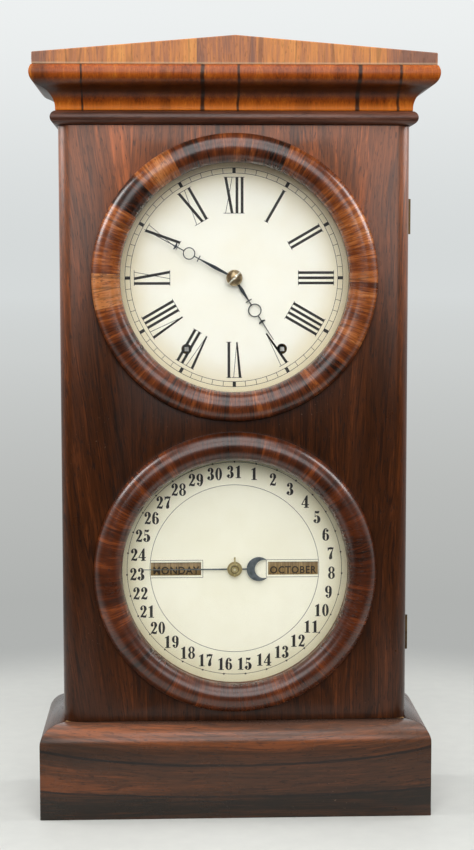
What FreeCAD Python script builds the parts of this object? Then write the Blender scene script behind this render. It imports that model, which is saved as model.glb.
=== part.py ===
import FreeCAD, Part
import math
import os

Vec = FreeCAD.Vector
os.makedirs("parts", exist_ok=True)

# All sizes are in millimetres. X is to the right, Y to the back and Z up. The origin is
# on the table, in the middle of the clock's width and depth.

# Case box
case_width = 308.0
case_depth = 87.0
case_height = 528.3
side_thickness = 10.0
floor_thickness = 10.0
backboard_thickness = 6.0

# Base plinth
base_height = 83.5
base_overhang = 20.0
base_board_thickness = 22.0
base_shoulder_radius = 17.0
base_top_thickness = 12.0
base_rail_thickness = 12.0

# Crown: half round neck bead, cornice and low gable
bead_height = 12.0
bead_board = 12.0
cornice_height = 37.2
cornice_overhang = 22.5
cornice_board = 14.0
cornice_fillet = 1.5
cornice_fillet_height = 1.7
cove_radius = 19.0
nose_drop = 6.6
gable_end_height = 12.0
gable_peak_height = 25.0
gable_thickness = 12.0
gable_setback = 2.5
crown_top_thickness = 8.0

# Door, bezels and glasses
door_gap = 0.5
door_end_gap = 0.5
door_thickness = 18.0
door_edge_radius = 9.0
lower_bezel_margin = 9.0
bezel_spacing = 10.0
upper_bezel_margin = 7.3
bezel_width = 25.0
bezel_projection = 13.0
bezel_inner_lip = 3.5
bezel_outer_lip = 4.5
bezel_crest_share = 0.56
glass_thickness = 2.0
glass_seat = 4.5
glass_ring_depth = 3.0
catch_rise = 137.0
catch_width = 9.0
catch_thickness = 0.8
catch_depth = 12.0
catch_plate_height = 16.0
catch_plate_reach = 11.0

# Butt hinges on the right
hinge_length = 31.0
lower_hinge_rise = 75.5
upper_hinge_drop = 78.8
knuckle_radius = 1.8
knuckle_outset = 0.9
hinge_pin_radius = 1.0
leaf_width = 8.0
leaf_thickness = 1.2

# Dials and the battens that carry them
dial_margin = 11.5
dial_thickness = 1.0
dial_setback = 0.5
batten_thickness = 8.0
top_batten_height = 30.0
middle_batten_height = 54.0
bottom_batten_height = 28.0
dial_hole_radius = 4.5
winding_hole_radius = 4.6
winding_hole_x = 42.5
winding_hole_drop = 63.0
window_width = 45.2
window_height = 12.0
window_inner_x = 30.2
screw_head_radius = 2.2
screw_head_height = 0.45
screw_shank_radius = 1.1
screw_length = 6.0
screw_circle_inset = 4.0
screw_angles = (80, 100, 260, 280)

# Hands
hand_thickness = 0.8
hand_line_width = 0.9
hand_leaf_width = 3.1
hand_leaf_share = 0.55
hand_root_width = 1.8
hand_bar_half = 2.9
hand_barb_half = 3.2
hand_barb_length = 1.2
hand_tip_width = 0.5
minute_hand_length = 90.0
hour_hand_length = 65.0
minute_hand_bar = 35.8
minute_hand_moon = 45.4
minute_hand_barb = 58.0
minute_moon_radius = 5.5
hour_hand_bar = 24.0
hour_hand_moon = 34.0
hour_hand_barb = 45.0
hour_moon_radius = 6.0
minute_hand_angle = 298.3
hour_hand_angle = 147.6
hour_hand_standoff = 1.7
hand_spacing = 2.8
hand_collet_radius = 6.8
cap_radius = 7.2
cap_height = 4.4
cap_arc = 40.0
taper_pin_radius = 0.8
taper_pin_length = 14.6
taper_pin_angle = 45.0
date_hand_length = 84.0
date_hand_standoff = 2.7
date_hand_root_width = 1.4
date_hand_tip_width = 0.5
crescent_center = 21.7
crescent_radius = 10.9
crescent_cut_center = 26.4
crescent_cut_radius = 8.3
date_hub_radius = 5.2
date_hub_height = 2.6
date_hub_rim_height = 1.2
date_boss_radius = 3.4
date_pin_rise = 11.2
date_pin_drop = 6.6

# Movement frame
plate_thickness = 2.0
plate_spacing = 39.5
plate_half_width = 64.0
plate_rise = 68.0
plate_drop = 97.0
plate_corner_radius = 8.0
movement_gap = 2.0
pillar_radius = 3.5
foot_radius = 4.0
left_foot_x = 25.0
side_pillar_drop = 8.0
arbor_radius = 2.0
pivot_radius = 0.9
winding_arbor_radius = 3.2
winding_hub_radius = 5.0
winding_square = 3.6
winding_square_reach = 4.5
wheel_thickness = 1.5
great_wheel_thickness = 2.0
pinion_length = 4.5

# Gaps between the planes of the wheels
wheel_gap = 2.0
spring_gap = 2.5
click_gap = 0.5
center_wheel_setback = 7.0
third_wheel_gap = 4.5
escape_wheel_gap = 8.5
motion_gap = 2.0
motion_wheel_gap = 0.7

# Tooth form, in modules and in shares of the pitch, and the round crossings of a wheel
tooth_depth = 1.15
tooth_height = 0.85
tooth_root_share = 0.27
tooth_tip_share = 0.09
crossing_reach = 0.58
crossing_share = 0.24
crossing_count = 4

# Teeth of the going train and the strike train
great_teeth = 72
second_pinion_teeth = 12
great_module = 1.0
second_teeth = 78
center_pinion_teeth = 10
second_module = 0.8
center_teeth = 72
third_pinion_teeth = 7
center_module = 0.7
third_teeth = 66
escape_pinion_teeth = 7
third_module = 0.65
escape_teeth = 36
escape_radius = 16.0
escape_tooth_depth = 2.4
escape_tooth_lead = 1.5
escape_tooth_span = 7.0
fly_pinion_teeth = 7
fly_half_width = 12.0
fly_length = 14.0
fly_back_gap = 4.0
fly_thickness = 0.8
third_arbor_angle = 46.0
fly_arbor_angle = 100.0
cannon_teeth = 12
minute_wheel_teeth = 36
minute_pinion_teeth = 10
hour_wheel_teeth = 40
cannon_module = 0.75
minute_wheel_angle = 150.0

# Winding work
ratchet_radius = 11.0
ratchet_teeth = 20
ratchet_thickness = 2.0
ratchet_tooth_depth = 1.5
ratchet_tooth_lead = 3.0
click_tail = 2.0
click_reach = 9.0
click_height = 4.0
mainspring_width = 17.0
mainspring_ribbon = 0.6
mainspring_turns = 6
mainspring_outer_radius = 26.0
mainspring_end_angle = -110.0
spring_post_radius = 2.0

# Verge and pendulum
verge_rise = 22.0
verge_swing = 3.5
pallet_half_span = 14.0
crutch_length = 35.0
crutch_thickness = 1.5
crutch_gap = 2.0
crutch_fork_height = 2.0
anchor_rise = 3.0
anchor_drop = 2.5
pallet_width = 1.0
pallet_rise = 4.0
pendulum_back_gap = 10.0
pendulum_rod_radius = 1.2
bob_radius = 28.0
bob_thickness = 13.0
suspension_ribbon = 0.3
suspension_width = 5.0
suspension_stud_height = 5.0
rating_nut_radius = 4.0
rating_nut_height = 3.0
rod_tail = 10.0
bob_shoulder = 0.75
bob_shoulder_depth = 0.66

# Striking
gong_inset = 56.0
gong_drop = 144.0
gong_radius = 38.0
gong_turns = 4
gong_wire = 2.4
gong_post_radius = 8.0
gong_standoff = 5.0
gong_end_angle = 45.0
hammer_pivot_x = -50.0
hammer_pivot_drop = 39.0
hammer_head_radius = 5.0
hammer_hub_radius = 4.0
hammer_stud_radius = 2.0
hammer_gap = 2.0
hammer_arm = 2.0

# Calendar work behind the lower dial
date_teeth = 31
date_wheel_radius = 24.0
date_arbor_radius = 2.5
date_wheel_gap = 1.0
date_collet_rim = 1.5
roller_gap = 0.4
day_roller_radius = 15.0
month_roller_radius = 26.0
roller_side_gap = 1.0
roller_axle_radius = 1.5
frame_plate = 2.0
cheek_setback = 4.0
cheek_half_height = 8.0
bridge_setback = 9.0
bridge_half_height = 6.0
frame_half_height = 24.0
frame_strap_x = 70.0
frame_strap_width = 8.0
frame_post_radius = 3.0
frame_post_inset = 6.0
lift_rod_x = 28.0
lift_rod_radius = 1.5
lift_foot_drop = 6.0
lift_lug_width = 10.0
lift_lug_height = 4.0
lift_collar_radius = 3.2
lift_collar_height = 3.0

# Clearances
loose_gap = 0.3
run_gap = 0.05
gravity = 9810.0
same_point = 0.000001

# Places that follow from the sizes
half_width = case_width / 2
back_y = (case_depth + door_gap + door_thickness + cornice_overhang) / 2
case_front_y = back_y - case_depth
door_back_y = case_front_y - door_gap
door_front_y = door_back_y - door_thickness
case_bottom = base_height
case_top = case_bottom + case_height
bead_top = case_top + bead_height
cornice_top = bead_top + cornice_height
inside_half = half_width - side_thickness
inside_back_y = back_y - backboard_thickness
bezel_margins = lower_bezel_margin + bezel_spacing + upper_bezel_margin
bezel_radius = (case_height - bezel_margins) / 4
bezel_opening_radius = bezel_radius - bezel_width
upper_center_z = case_top - upper_bezel_margin - bezel_radius
lower_center_z = case_bottom + lower_bezel_margin + bezel_radius
door_hole_radius = bezel_opening_radius + glass_seat
dial_radius = bezel_opening_radius + dial_margin
pendulum_y = inside_back_y - pendulum_back_gap
gong_x = gong_inset - inside_half
gong_z = upper_center_z - gong_drop
dial_front_y = case_front_y + dial_setback
dial_back_y = dial_front_y + dial_thickness
batten_back_y = dial_back_y + batten_thickness
front_plate_y = batten_back_y + movement_gap
inner_front_y = front_plate_y + plate_thickness
inner_back_y = inner_front_y + plate_spacing
back_plate_y = inner_back_y + plate_thickness
hinge_x = half_width + knuckle_outset
hinge_y = (case_front_y + door_back_y) / 2
hour_hand_y = dial_front_y - hour_hand_standoff - hand_thickness
minute_hand_y = hour_hand_y - hand_spacing - hand_thickness
lift_rod_y = back_plate_y + pinion_length


# Small helpers for shapes

def box(x0, x1, y0, y1, z0, z1):
    return Part.makeBox(x1 - x0, y1 - y0, z1 - z0, Vec(x0, y0, z0))


def rod(start, end, radius):
    return Part.makeCylinder(radius, (end - start).Length, start, end - start)


def disc(x, z, radius, y0, y1):
    return rod(Vec(x, y0, z), Vec(x, y1, z), radius)


def ring(x, z, outer, inner, y0, y1):
    return disc(x, z, outer, y0, y1).cut(disc(x, z, inner, y0, y1))


def fused(first, *others):
    return first.fuse(list(others)).removeSplitter() if others else first


def outline(place, start, *steps):
    """Face inside a closed outline. A step is a corner, or a pair of points of an arc."""
    first = place(*start)
    here = first
    edges = []
    for step in steps:
        if isinstance(step[0], tuple):
            end = place(*step[1])
            edges.append(Part.Arc(here, place(*step[0]), end).toShape())
        else:
            end = place(*step)
            edges.append(Part.makeLine(here, end))
        here = end
    if (here - first).Length > same_point:
        edges.append(Part.makeLine(here, first))
    return Part.Face(Part.Wire(edges))


def upright(y):
    """Places a flat (x, z) point in the upright plane at y."""
    return lambda x, z: Vec(x, y, z)


def slab(points, y0, y1):
    face = outline(upright(y0), *points)
    return face.extrude(Vec(0, y1 - y0, 0))


def polar(x, z, radius, degrees):
    angle = math.radians(degrees)
    return (x + radius * math.cos(angle), z + radius * math.sin(angle))


def meeting(first, first_reach, second, second_reach):
    """The point at both reaches from two points, on the right of the line between them."""
    dx = second[0] - first[0]
    dz = second[1] - first[1]
    span = math.hypot(dx, dz)
    along = (first_reach ** 2 - second_reach ** 2 + span ** 2) / (2 * span)
    aside = math.sqrt(max(first_reach ** 2 - along ** 2, 0.0))
    return (first[0] + (along * dx + aside * dz) / span,
            first[1] + (along * dz - aside * dx) / span)


def bearing(first, second):
    return math.degrees(math.atan2(second[1] - first[1], second[0] - first[0]))


def save(name, *solids):
    shape = solids[0] if len(solids) == 1 else Part.makeCompound(list(solids))
    shape.exportStep("parts/" + name + ".step")


# Wooden mouldings: a section drawn outwards from the front plane of the door and the
# outer planes of the case sides, cut to a mitre at the two front corners

def front_run(section, bottom, top, inner, outer):
    place = lambda p, z: Vec(-half_width - outer, door_front_y - p, z)
    bar = outline(place, *section).extrude(Vec(2 * (half_width + outer), 0, 0))
    corners = ((-half_width - outer, -outer), (half_width + outer, -outer),
               (half_width + inner, -inner), (-half_width - inner, -inner))
    flat = lambda x, q: Vec(x, door_front_y + q, bottom)
    return bar.common(outline(flat, *corners).extrude(Vec(0, 0, top - bottom)))


def side_run(section, side, bottom, top, inner, outer):
    place = lambda p, z: Vec(side * (half_width + p), door_front_y - outer, z)
    length = back_y - door_front_y + outer
    bar = outline(place, *section).extrude(Vec(0, length, 0))
    corners = ((half_width + outer, -outer), (half_width + outer, back_y - door_front_y),
               (half_width + inner, back_y - door_front_y), (half_width + inner, -inner))
    flat = lambda x, q: Vec(side * x, door_front_y + q, bottom)
    return bar.common(outline(flat, *corners).extrude(Vec(0, 0, top - bottom)))


def save_moulding(name, section, bottom, top, inner, outer):
    save(name + "_front", front_run(section, bottom, top, inner, outer))
    save(name + "_left", side_run(section, -1, bottom, top, inner, outer))
    save(name + "_right", side_run(section, 1, bottom, top, inner, outer))


def arc_point(center, radius, degrees):
    return polar(center[0], center[1], radius, degrees)


def build_base():
    inner = base_overhang - base_board_thickness
    shoulder = (base_overhang - base_shoulder_radius, base_height - base_shoulder_radius)
    section = ((inner, 0), (base_overhang, 0), (base_overhang, shoulder[1]),
               (arc_point(shoulder, base_shoulder_radius, 45), (shoulder[0], base_height)),
               (inner, base_height))
    save_moulding("base_board", section, 0, base_height, inner, base_overhang)
    reach = half_width + inner
    under_top = base_height - base_top_thickness
    save("base_top_board", box(-reach, reach, door_front_y - inner, back_y,
                               under_top, base_height))
    save("base_back_rail", box(-reach, reach, back_y - base_rail_thickness, back_y,
                               0, under_top))


def nose_radius():
    """Radius of the cornice nose that runs smoothly out of the cove below it."""
    cove_p = cornice_fillet + cove_radius
    rise = cornice_height - nose_drop - cornice_fillet_height
    back = cornice_overhang - cove_p
    return (rise ** 2 + back ** 2 - cove_radius ** 2) / (2 * (cove_radius + back))


def cornice_section():
    cove = (cornice_fillet + cove_radius, bead_top + cornice_fillet_height)
    radius = nose_radius()
    nose = (cornice_overhang - radius, cornice_top - nose_drop)
    lean = bearing(cove, nose)
    cove_end = arc_point(cove, cove_radius, lean)
    nose_end = (nose[0] + math.sqrt(radius ** 2 - nose_drop ** 2), cornice_top)
    return ((-cornice_board, bead_top), (cornice_fillet, bead_top), (cornice_fillet, cove[1]),
            (arc_point(cove, cove_radius, (180 + lean) / 2), cove_end),
            (arc_point(nose, radius, (lean - 180) / 2), (cornice_overhang, nose[1])),
            (arc_point(nose, radius, bearing(nose, nose_end) / 2), nose_end),
            (-cornice_board, cornice_top))


def build_crown():
    round_radius = bead_height / 2
    middle = case_top + round_radius
    bead = ((-bead_board, case_top), (0, case_top),
            ((round_radius, middle), (0, bead_top)), (-bead_board, bead_top))
    save_moulding("neck_bead", bead, case_top, bead_top, -bead_board, round_radius)
    save_moulding("cornice", cornice_section(), bead_top, cornice_top,
                  -cornice_board, cornice_overhang)
    inner = half_width - cornice_board
    save("crown_top_board", box(-inner, inner, door_front_y + cornice_board, back_y,
                                cornice_top - crown_top_thickness, cornice_top))
    reach = half_width + cornice_overhang - gable_setback
    front = door_front_y - cornice_overhang + gable_setback
    gable = ((-reach, cornice_top), (reach, cornice_top),
             (reach, cornice_top + gable_end_height), (0, cornice_top + gable_peak_height),
             (-reach, cornice_top + gable_end_height))
    save("gable_board", slab(gable, front, front + gable_thickness))


def hinge_levels():
    """Bottom and top of each hinge, and of the middle knuckle within it."""
    for rise in (lower_hinge_rise, case_height - upper_hinge_drop):
        low = case_bottom + rise - hinge_length / 2
        step = hinge_length / 3
        yield low, low + step, low + 2 * step, low + hinge_length


def knuckle(low, high, radius):
    return rod(Vec(hinge_x, hinge_y, low), Vec(hinge_x, hinge_y, high), radius)


def hinge_recess(y0, y1):
    """Mortise for one leaf, and the round groove for the knuckles."""
    cuts = []
    for low, _, _, high in hinge_levels():
        cuts.append(box(hinge_x - leaf_width, hinge_x, y0, y1, low, high))
        cuts.append(knuckle(low - loose_gap, high + loose_gap, knuckle_radius + loose_gap))
    return cuts


def hinge_leaf(y0, y1, keep, clear):
    """One leaf with its own knuckles, cut round the knuckles of the other leaf."""
    low = min(a for a, _ in keep + clear)
    high = max(b for _, b in keep + clear)
    leaf = box(hinge_x - leaf_width, hinge_x, y0, y1, low, high)
    for bottom, top in clear:
        leaf = leaf.cut(knuckle(bottom, top, knuckle_radius + loose_gap))
    eyes = [knuckle(bottom, top, knuckle_radius) for bottom, top in keep]
    leaf = fused(leaf, *eyes)
    for bottom, top in clear:
        gap = box(hinge_x - knuckle_radius - loose_gap, hinge_x + leaf_width,
                  hinge_y - leaf_width, hinge_y + leaf_width,
                  bottom - run_gap, top + run_gap)
        leaf = leaf.cut(gap)
    return leaf.cut(knuckle(low, high, hinge_pin_radius + run_gap))


def build_hinges():
    case_leaves = []
    door_leaves = []
    pins = []
    for low, first, second, high in hinge_levels():
        outer = [(low, first), (second, high)]
        middle = [(first, second)]
        case_leaves.append(hinge_leaf(case_front_y, case_front_y + leaf_thickness, outer, middle))
        door_leaves.append(hinge_leaf(door_back_y - leaf_thickness, door_back_y, middle, outer))
        pins.append(knuckle(low, high, hinge_pin_radius))
    save("hinge_case_leaves", *case_leaves)
    save("hinge_door_leaves", *door_leaves)
    save("hinge_pins", *pins)


def build_case():
    left = box(-half_width, -inside_half, case_front_y, back_y, case_bottom, case_top)
    right = box(inside_half, half_width, case_front_y, back_y, case_bottom, case_top)
    right = right.cut(hinge_recess(case_front_y, case_front_y + leaf_thickness))
    save("case_left_side", left)
    save("case_right_side", right)
    save("case_floor", box(-inside_half, inside_half, case_front_y, inside_back_y,
                           case_bottom, case_bottom + floor_thickness))
    save("case_top_board", box(-inside_half, inside_half, case_front_y, inside_back_y,
                               case_top - floor_thickness, case_top))
    save("case_backboard", box(-inside_half, inside_half, inside_back_y, back_y,
                               case_bottom, case_top))


def batten_levels():
    """Bottom and top of the three battens that the dials are screwed to."""
    floor_top = case_bottom + floor_thickness
    ceiling = case_top - floor_thickness
    middle = (upper_center_z + lower_center_z) / 2
    return ((floor_top, floor_top + bottom_batten_height),
            (middle - middle_batten_height / 2, middle + middle_batten_height / 2),
            (ceiling - top_batten_height, ceiling))


def screw_places():
    reach = dial_radius - screw_circle_inset
    for center in (upper_center_z, lower_center_z):
        for degrees in screw_angles:
            yield polar(0, center, reach, degrees)


def build_dials():
    battens = [box(-inside_half, inside_half, dial_back_y, batten_back_y, low, high)
               for low, high in batten_levels()]
    upper = disc(0, upper_center_z, dial_radius, dial_front_y, dial_back_y)
    lower = disc(0, lower_center_z, dial_radius, dial_front_y, dial_back_y)
    holes = [disc(0, upper_center_z, dial_hole_radius, dial_front_y, dial_back_y),
             disc(0, lower_center_z, dial_hole_radius, dial_front_y, dial_back_y)]
    for side in (-1, 1):
        holes.append(disc(side * winding_hole_x, upper_center_z - winding_hole_drop,
                          winding_hole_radius, dial_front_y, dial_back_y))
        near = side * window_inner_x
        far = side * (window_inner_x + window_width)
        holes.append(box(min(near, far), max(near, far), dial_front_y, dial_back_y,
                         lower_center_z - window_height / 2,
                         lower_center_z + window_height / 2))
    screws = []
    shanks = []
    for x, z in screw_places():
        head = disc(x, z, screw_head_radius, dial_front_y - screw_head_height, dial_front_y)
        shank = disc(x, z, screw_shank_radius, dial_front_y, dial_front_y + screw_length)
        shanks.append(shank)
        screws.append(fused(head, shank))
    save("dial_battens", *[batten.cut(shanks) for batten in battens])
    save("upper_dial", upper.cut(holes + shanks))
    save("calendar_dial", lower.cut(holes + shanks))
    save("dial_screws", *screws)


def bezel_ring(z):
    inner = bezel_opening_radius
    outer = bezel_radius
    crest = inner + bezel_width * bezel_crest_share
    section = lambda r, h: Vec(r, door_front_y - h, z)
    face = outline(section, (inner, 0), (inner, bezel_inner_lip),
                   ((crest, bezel_projection), (outer, bezel_outer_lip)), (outer, 0))
    return face.revolve(Vec(0, 0, z), Vec(0, 1, 0), 360)


def build_door():
    low = case_bottom + door_end_gap
    high = case_top - door_end_gap
    panel = box(-half_width, half_width, door_front_y, door_back_y, low, high)
    front_edges = [edge for edge in panel.Edges
                   if abs(edge.Vertexes[0].Z - edge.Vertexes[1].Z) > door_thickness
                   and edge.CenterOfMass.y < door_front_y + door_gap]
    panel = panel.makeFillet(door_edge_radius, front_edges)
    glasses = []
    rings = []
    glass_back_y = door_front_y + glass_thickness
    for name, z in (("upper", upper_center_z), ("lower", lower_center_z)):
        panel = panel.cut(disc(0, z, door_hole_radius, door_front_y, door_back_y))
        save(name + "_bezel", bezel_ring(z))
        edge = door_hole_radius - loose_gap
        glasses.append(disc(0, z, edge, door_front_y, glass_back_y))
        rings.append(ring(0, z, edge, bezel_opening_radius, glass_back_y,
                          glass_back_y + glass_ring_depth))
    panel = panel.cut(hinge_recess(door_back_y - leaf_thickness, door_back_y))
    catch_z = low + catch_rise
    plate = box(-inside_half, -inside_half + catch_plate_reach,
                door_back_y - catch_thickness, door_back_y,
                catch_z - catch_plate_height / 2, catch_z + catch_plate_height / 2)
    tongue_x = -inside_half + 2 * loose_gap
    tongue = box(tongue_x, tongue_x + catch_thickness,
                 door_back_y - catch_thickness, dial_front_y - loose_gap + catch_depth,
                 catch_z - catch_width / 2, catch_z + catch_width / 2)
    save("door_panel", panel.cut(plate))
    save("door_glasses", *glasses)
    save("glass_retaining_rings", *rings)
    return plate, tongue


# Hands

def turned(shape, z, degrees):
    """Turns a shape clockwise, seen from the front, about the axis through a dial centre."""
    shape.rotate(Vec(0, 0, z), Vec(0, 1, 0), degrees)
    return shape


def pointer(y, z, width_pairs):
    """Pointing part of a hand, straight up: half widths at heights above the centre."""
    right = [(half, z + rise) for rise, half in width_pairs]
    left = [(-half, z + rise) for rise, half in reversed(width_pairs)]
    return slab(tuple(right + left), y, y + hand_thickness)


def moon_hand(y, length, bar, moon, barb, moon_radius, bore):
    """Pierced clock hand: slender leaf, cross bar, open moon, small barbs and a needle tip."""
    z = upper_center_z
    line = hand_line_width / 2
    barb_tip = barb + hand_barb_length
    pieces = [pointer(y, z, ((0, hand_root_width / 2), (hand_collet_radius, hand_root_width / 2),
                             (bar * hand_leaf_share, hand_leaf_width / 2), (bar, line))),
              pointer(y, z, ((bar - line, hand_bar_half), (bar + line, hand_bar_half))),
              pointer(y, z, ((bar, line), (moon - moon_radius + line, line))),
              disc(0, z + moon, moon_radius, y, y + hand_thickness),
              pointer(y, z, ((moon, line), (barb, line))),
              pointer(y, z, ((barb - line, line), (barb_tip - line, hand_barb_half),
                             (barb_tip + line, hand_barb_half), (barb_tip + line, line),
                             (length, hand_tip_width / 2))),
              disc(0, z, hand_collet_radius, y, y + hand_thickness)]
    hand = fused(pieces[0], *pieces[1:])
    opening = moon_radius - hand_line_width
    hand = hand.cut(disc(0, z + moon, opening, y, y + hand_thickness))
    return hand.cut(disc(0, z, bore, y, y + hand_thickness))


cannon_bore = arbor_radius - pivot_radius / 2 + run_gap
cannon_radius = cannon_bore + hand_thickness
hour_pipe_bore = cannon_radius + run_gap
hour_pipe_radius = hour_pipe_bore + hand_thickness


def build_hands():
    minute = moon_hand(minute_hand_y, minute_hand_length, minute_hand_bar, minute_hand_moon,
                       minute_hand_barb, minute_moon_radius, cannon_radius + run_gap)
    hour = moon_hand(hour_hand_y, hour_hand_length, hour_hand_bar, hour_hand_moon,
                     hour_hand_barb, hour_moon_radius, hour_pipe_radius + run_gap)
    save("minute_hand", turned(minute, upper_center_z, minute_hand_angle))
    save("hour_hand", turned(hour, upper_center_z, hour_hand_angle))


# Gears

def toothed(teeth, module, center, y0, y1, first_angle):
    """Gear blank with plain flanked teeth, one of them at first_angle."""
    pitch_radius = teeth * module / 2
    root = pitch_radius - tooth_depth * module
    tip = pitch_radius + tooth_height * module
    step = 360.0 / teeth
    points = []
    for index in range(teeth):
        middle = first_angle + index * step
        for radius, share in ((root, -tooth_root_share), (tip, -tooth_tip_share),
                              (tip, tooth_tip_share), (root, tooth_root_share)):
            points.append(polar(center[0], center[1], radius, middle + share * step))
    return slab(points, y0, y1)


def mesh_angle(driver, driver_teeth, driver_angle, driven, driven_teeth):
    """Angle of a tooth of the driven gear that puts it in mesh with the driver."""
    line = bearing(driver, driven)
    ahead = (line - driver_angle) * driver_teeth / driven_teeth
    return line + 180.0 + 180.0 / driven_teeth + ahead


def lightened(wheel, teeth, module, center, y0, y1):
    """Wheel with round holes between its rim and its hub."""
    pitch_radius = teeth * module / 2
    reach = pitch_radius * crossing_reach
    hole = pitch_radius * crossing_share
    step = 360 / crossing_count
    cuts = [disc(*polar(*center, reach, step * (turn + 0.5)), hole, y0, y1)
            for turn in range(crossing_count)]
    return wheel.cut(cuts)


def thin_arbor(axis):
    return disc(*axis, pivot_radius, front_plate_y, back_plate_y)


def stout_arbor(axis):
    """Arbor between the plates, with a thin pivot in each plate."""
    return fused(disc(*axis, arbor_radius, inner_front_y + loose_gap,
                      inner_back_y - loose_gap), thin_arbor(axis))


# Places of the arbors, worked out from the teeth that mesh
center_axis = (0.0, upper_center_z)
time_axis = (winding_hole_x, upper_center_z - winding_hole_drop)
strike_axis = (-winding_hole_x, upper_center_z - winding_hole_drop)
great_reach = (great_teeth + second_pinion_teeth) * great_module / 2
second_reach = (second_teeth + center_pinion_teeth) * second_module / 2
third_reach = (center_teeth + third_pinion_teeth) * center_module / 2
escape_reach = (third_teeth + escape_pinion_teeth) * third_module / 2
fly_reach = (second_teeth + fly_pinion_teeth) * second_module / 2
minute_reach = (cannon_teeth + minute_wheel_teeth) * cannon_module / 2
time_second_axis = meeting(time_axis, great_reach, center_axis, second_reach)
strike_second_axis = (-time_second_axis[0], time_second_axis[1])
third_axis = polar(*center_axis, third_reach, third_arbor_angle)
escape_axis = (0.0, third_axis[1] + math.sqrt(escape_reach ** 2 - third_axis[0] ** 2))
verge_axis = (0.0, escape_axis[1] + verge_rise)
fly_axis = polar(*strike_second_axis, fly_reach, fly_arbor_angle)
minute_axis = polar(*center_axis, minute_reach, minute_wheel_angle)
hammer_axis = (hammer_pivot_x, upper_center_z - hammer_pivot_drop)

# Planes of the wheels, from the front plate to the back plate
second_front_y = inner_front_y + pinion_length / 2
strike_second_front_y = second_front_y + wheel_thickness + wheel_gap
mainspring_front_y = strike_second_front_y + wheel_thickness + spring_gap
ratchet_front_y = mainspring_front_y + mainspring_width + spring_gap
great_front_y = ratchet_front_y + ratchet_thickness + click_gap
center_front_y = mainspring_front_y + center_wheel_setback
third_front_y = center_front_y + wheel_thickness + third_wheel_gap
escape_front_y = third_front_y + wheel_thickness + escape_wheel_gap
minute_wheel_y = front_plate_y - motion_gap
hour_wheel_y = minute_wheel_y - wheel_thickness - motion_wheel_gap
minute_pinion_module = 2 * minute_reach / (minute_pinion_teeth + hour_wheel_teeth)

# Length of the pendulum whose beat suits the train
beats_per_hour = (2 * escape_teeth * center_teeth * third_teeth
                  / (third_pinion_teeth * escape_pinion_teeth))
beat_seconds = 3600 / beats_per_hour
pendulum_length = gravity * (beat_seconds / math.pi) ** 2
def plate_blank(y0, y1):
    low = upper_center_z - plate_drop
    high = upper_center_z + plate_rise
    plate = box(-plate_half_width, plate_half_width, y0, y1, low, high)
    corners = [edge for edge in plate.Edges
               if abs(edge.Vertexes[0].Y - edge.Vertexes[1].Y) > plate_thickness / 2]
    return plate.makeFillet(plate_corner_radius, corners)


def pivot_holes(axes, radius, y0, y1):
    return [disc(x, z, radius + run_gap, y0, y1) for x, z in axes]


def feet_places():
    high = upper_center_z + plate_rise - plate_corner_radius
    low = upper_center_z - plate_drop + plate_corner_radius
    side = plate_half_width - plate_corner_radius
    return ((-side, high), (side, high), (side, low), (-left_foot_x, low))


def pillar_places():
    high = upper_center_z + plate_rise - plate_corner_radius
    side = plate_half_width - pillar_radius
    low = upper_center_z - plate_drop + plate_corner_radius + pillar_radius
    middle = upper_center_z - side_pillar_drop
    return ((-side, high), (side, high), (-side, middle), (side, middle), (0, low))


def mainspring_end(side):
    """Angle of the outer end of a mainspring about its arbor."""
    return mainspring_end_angle if side > 0 else 180 - mainspring_end_angle


def spring_post_place(side):
    axis = time_axis if side > 0 else strike_axis
    reach = mainspring_outer_radius + mainspring_ribbon / 2 + loose_gap + spring_post_radius
    return polar(*axis, reach, mainspring_end(side))


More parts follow.
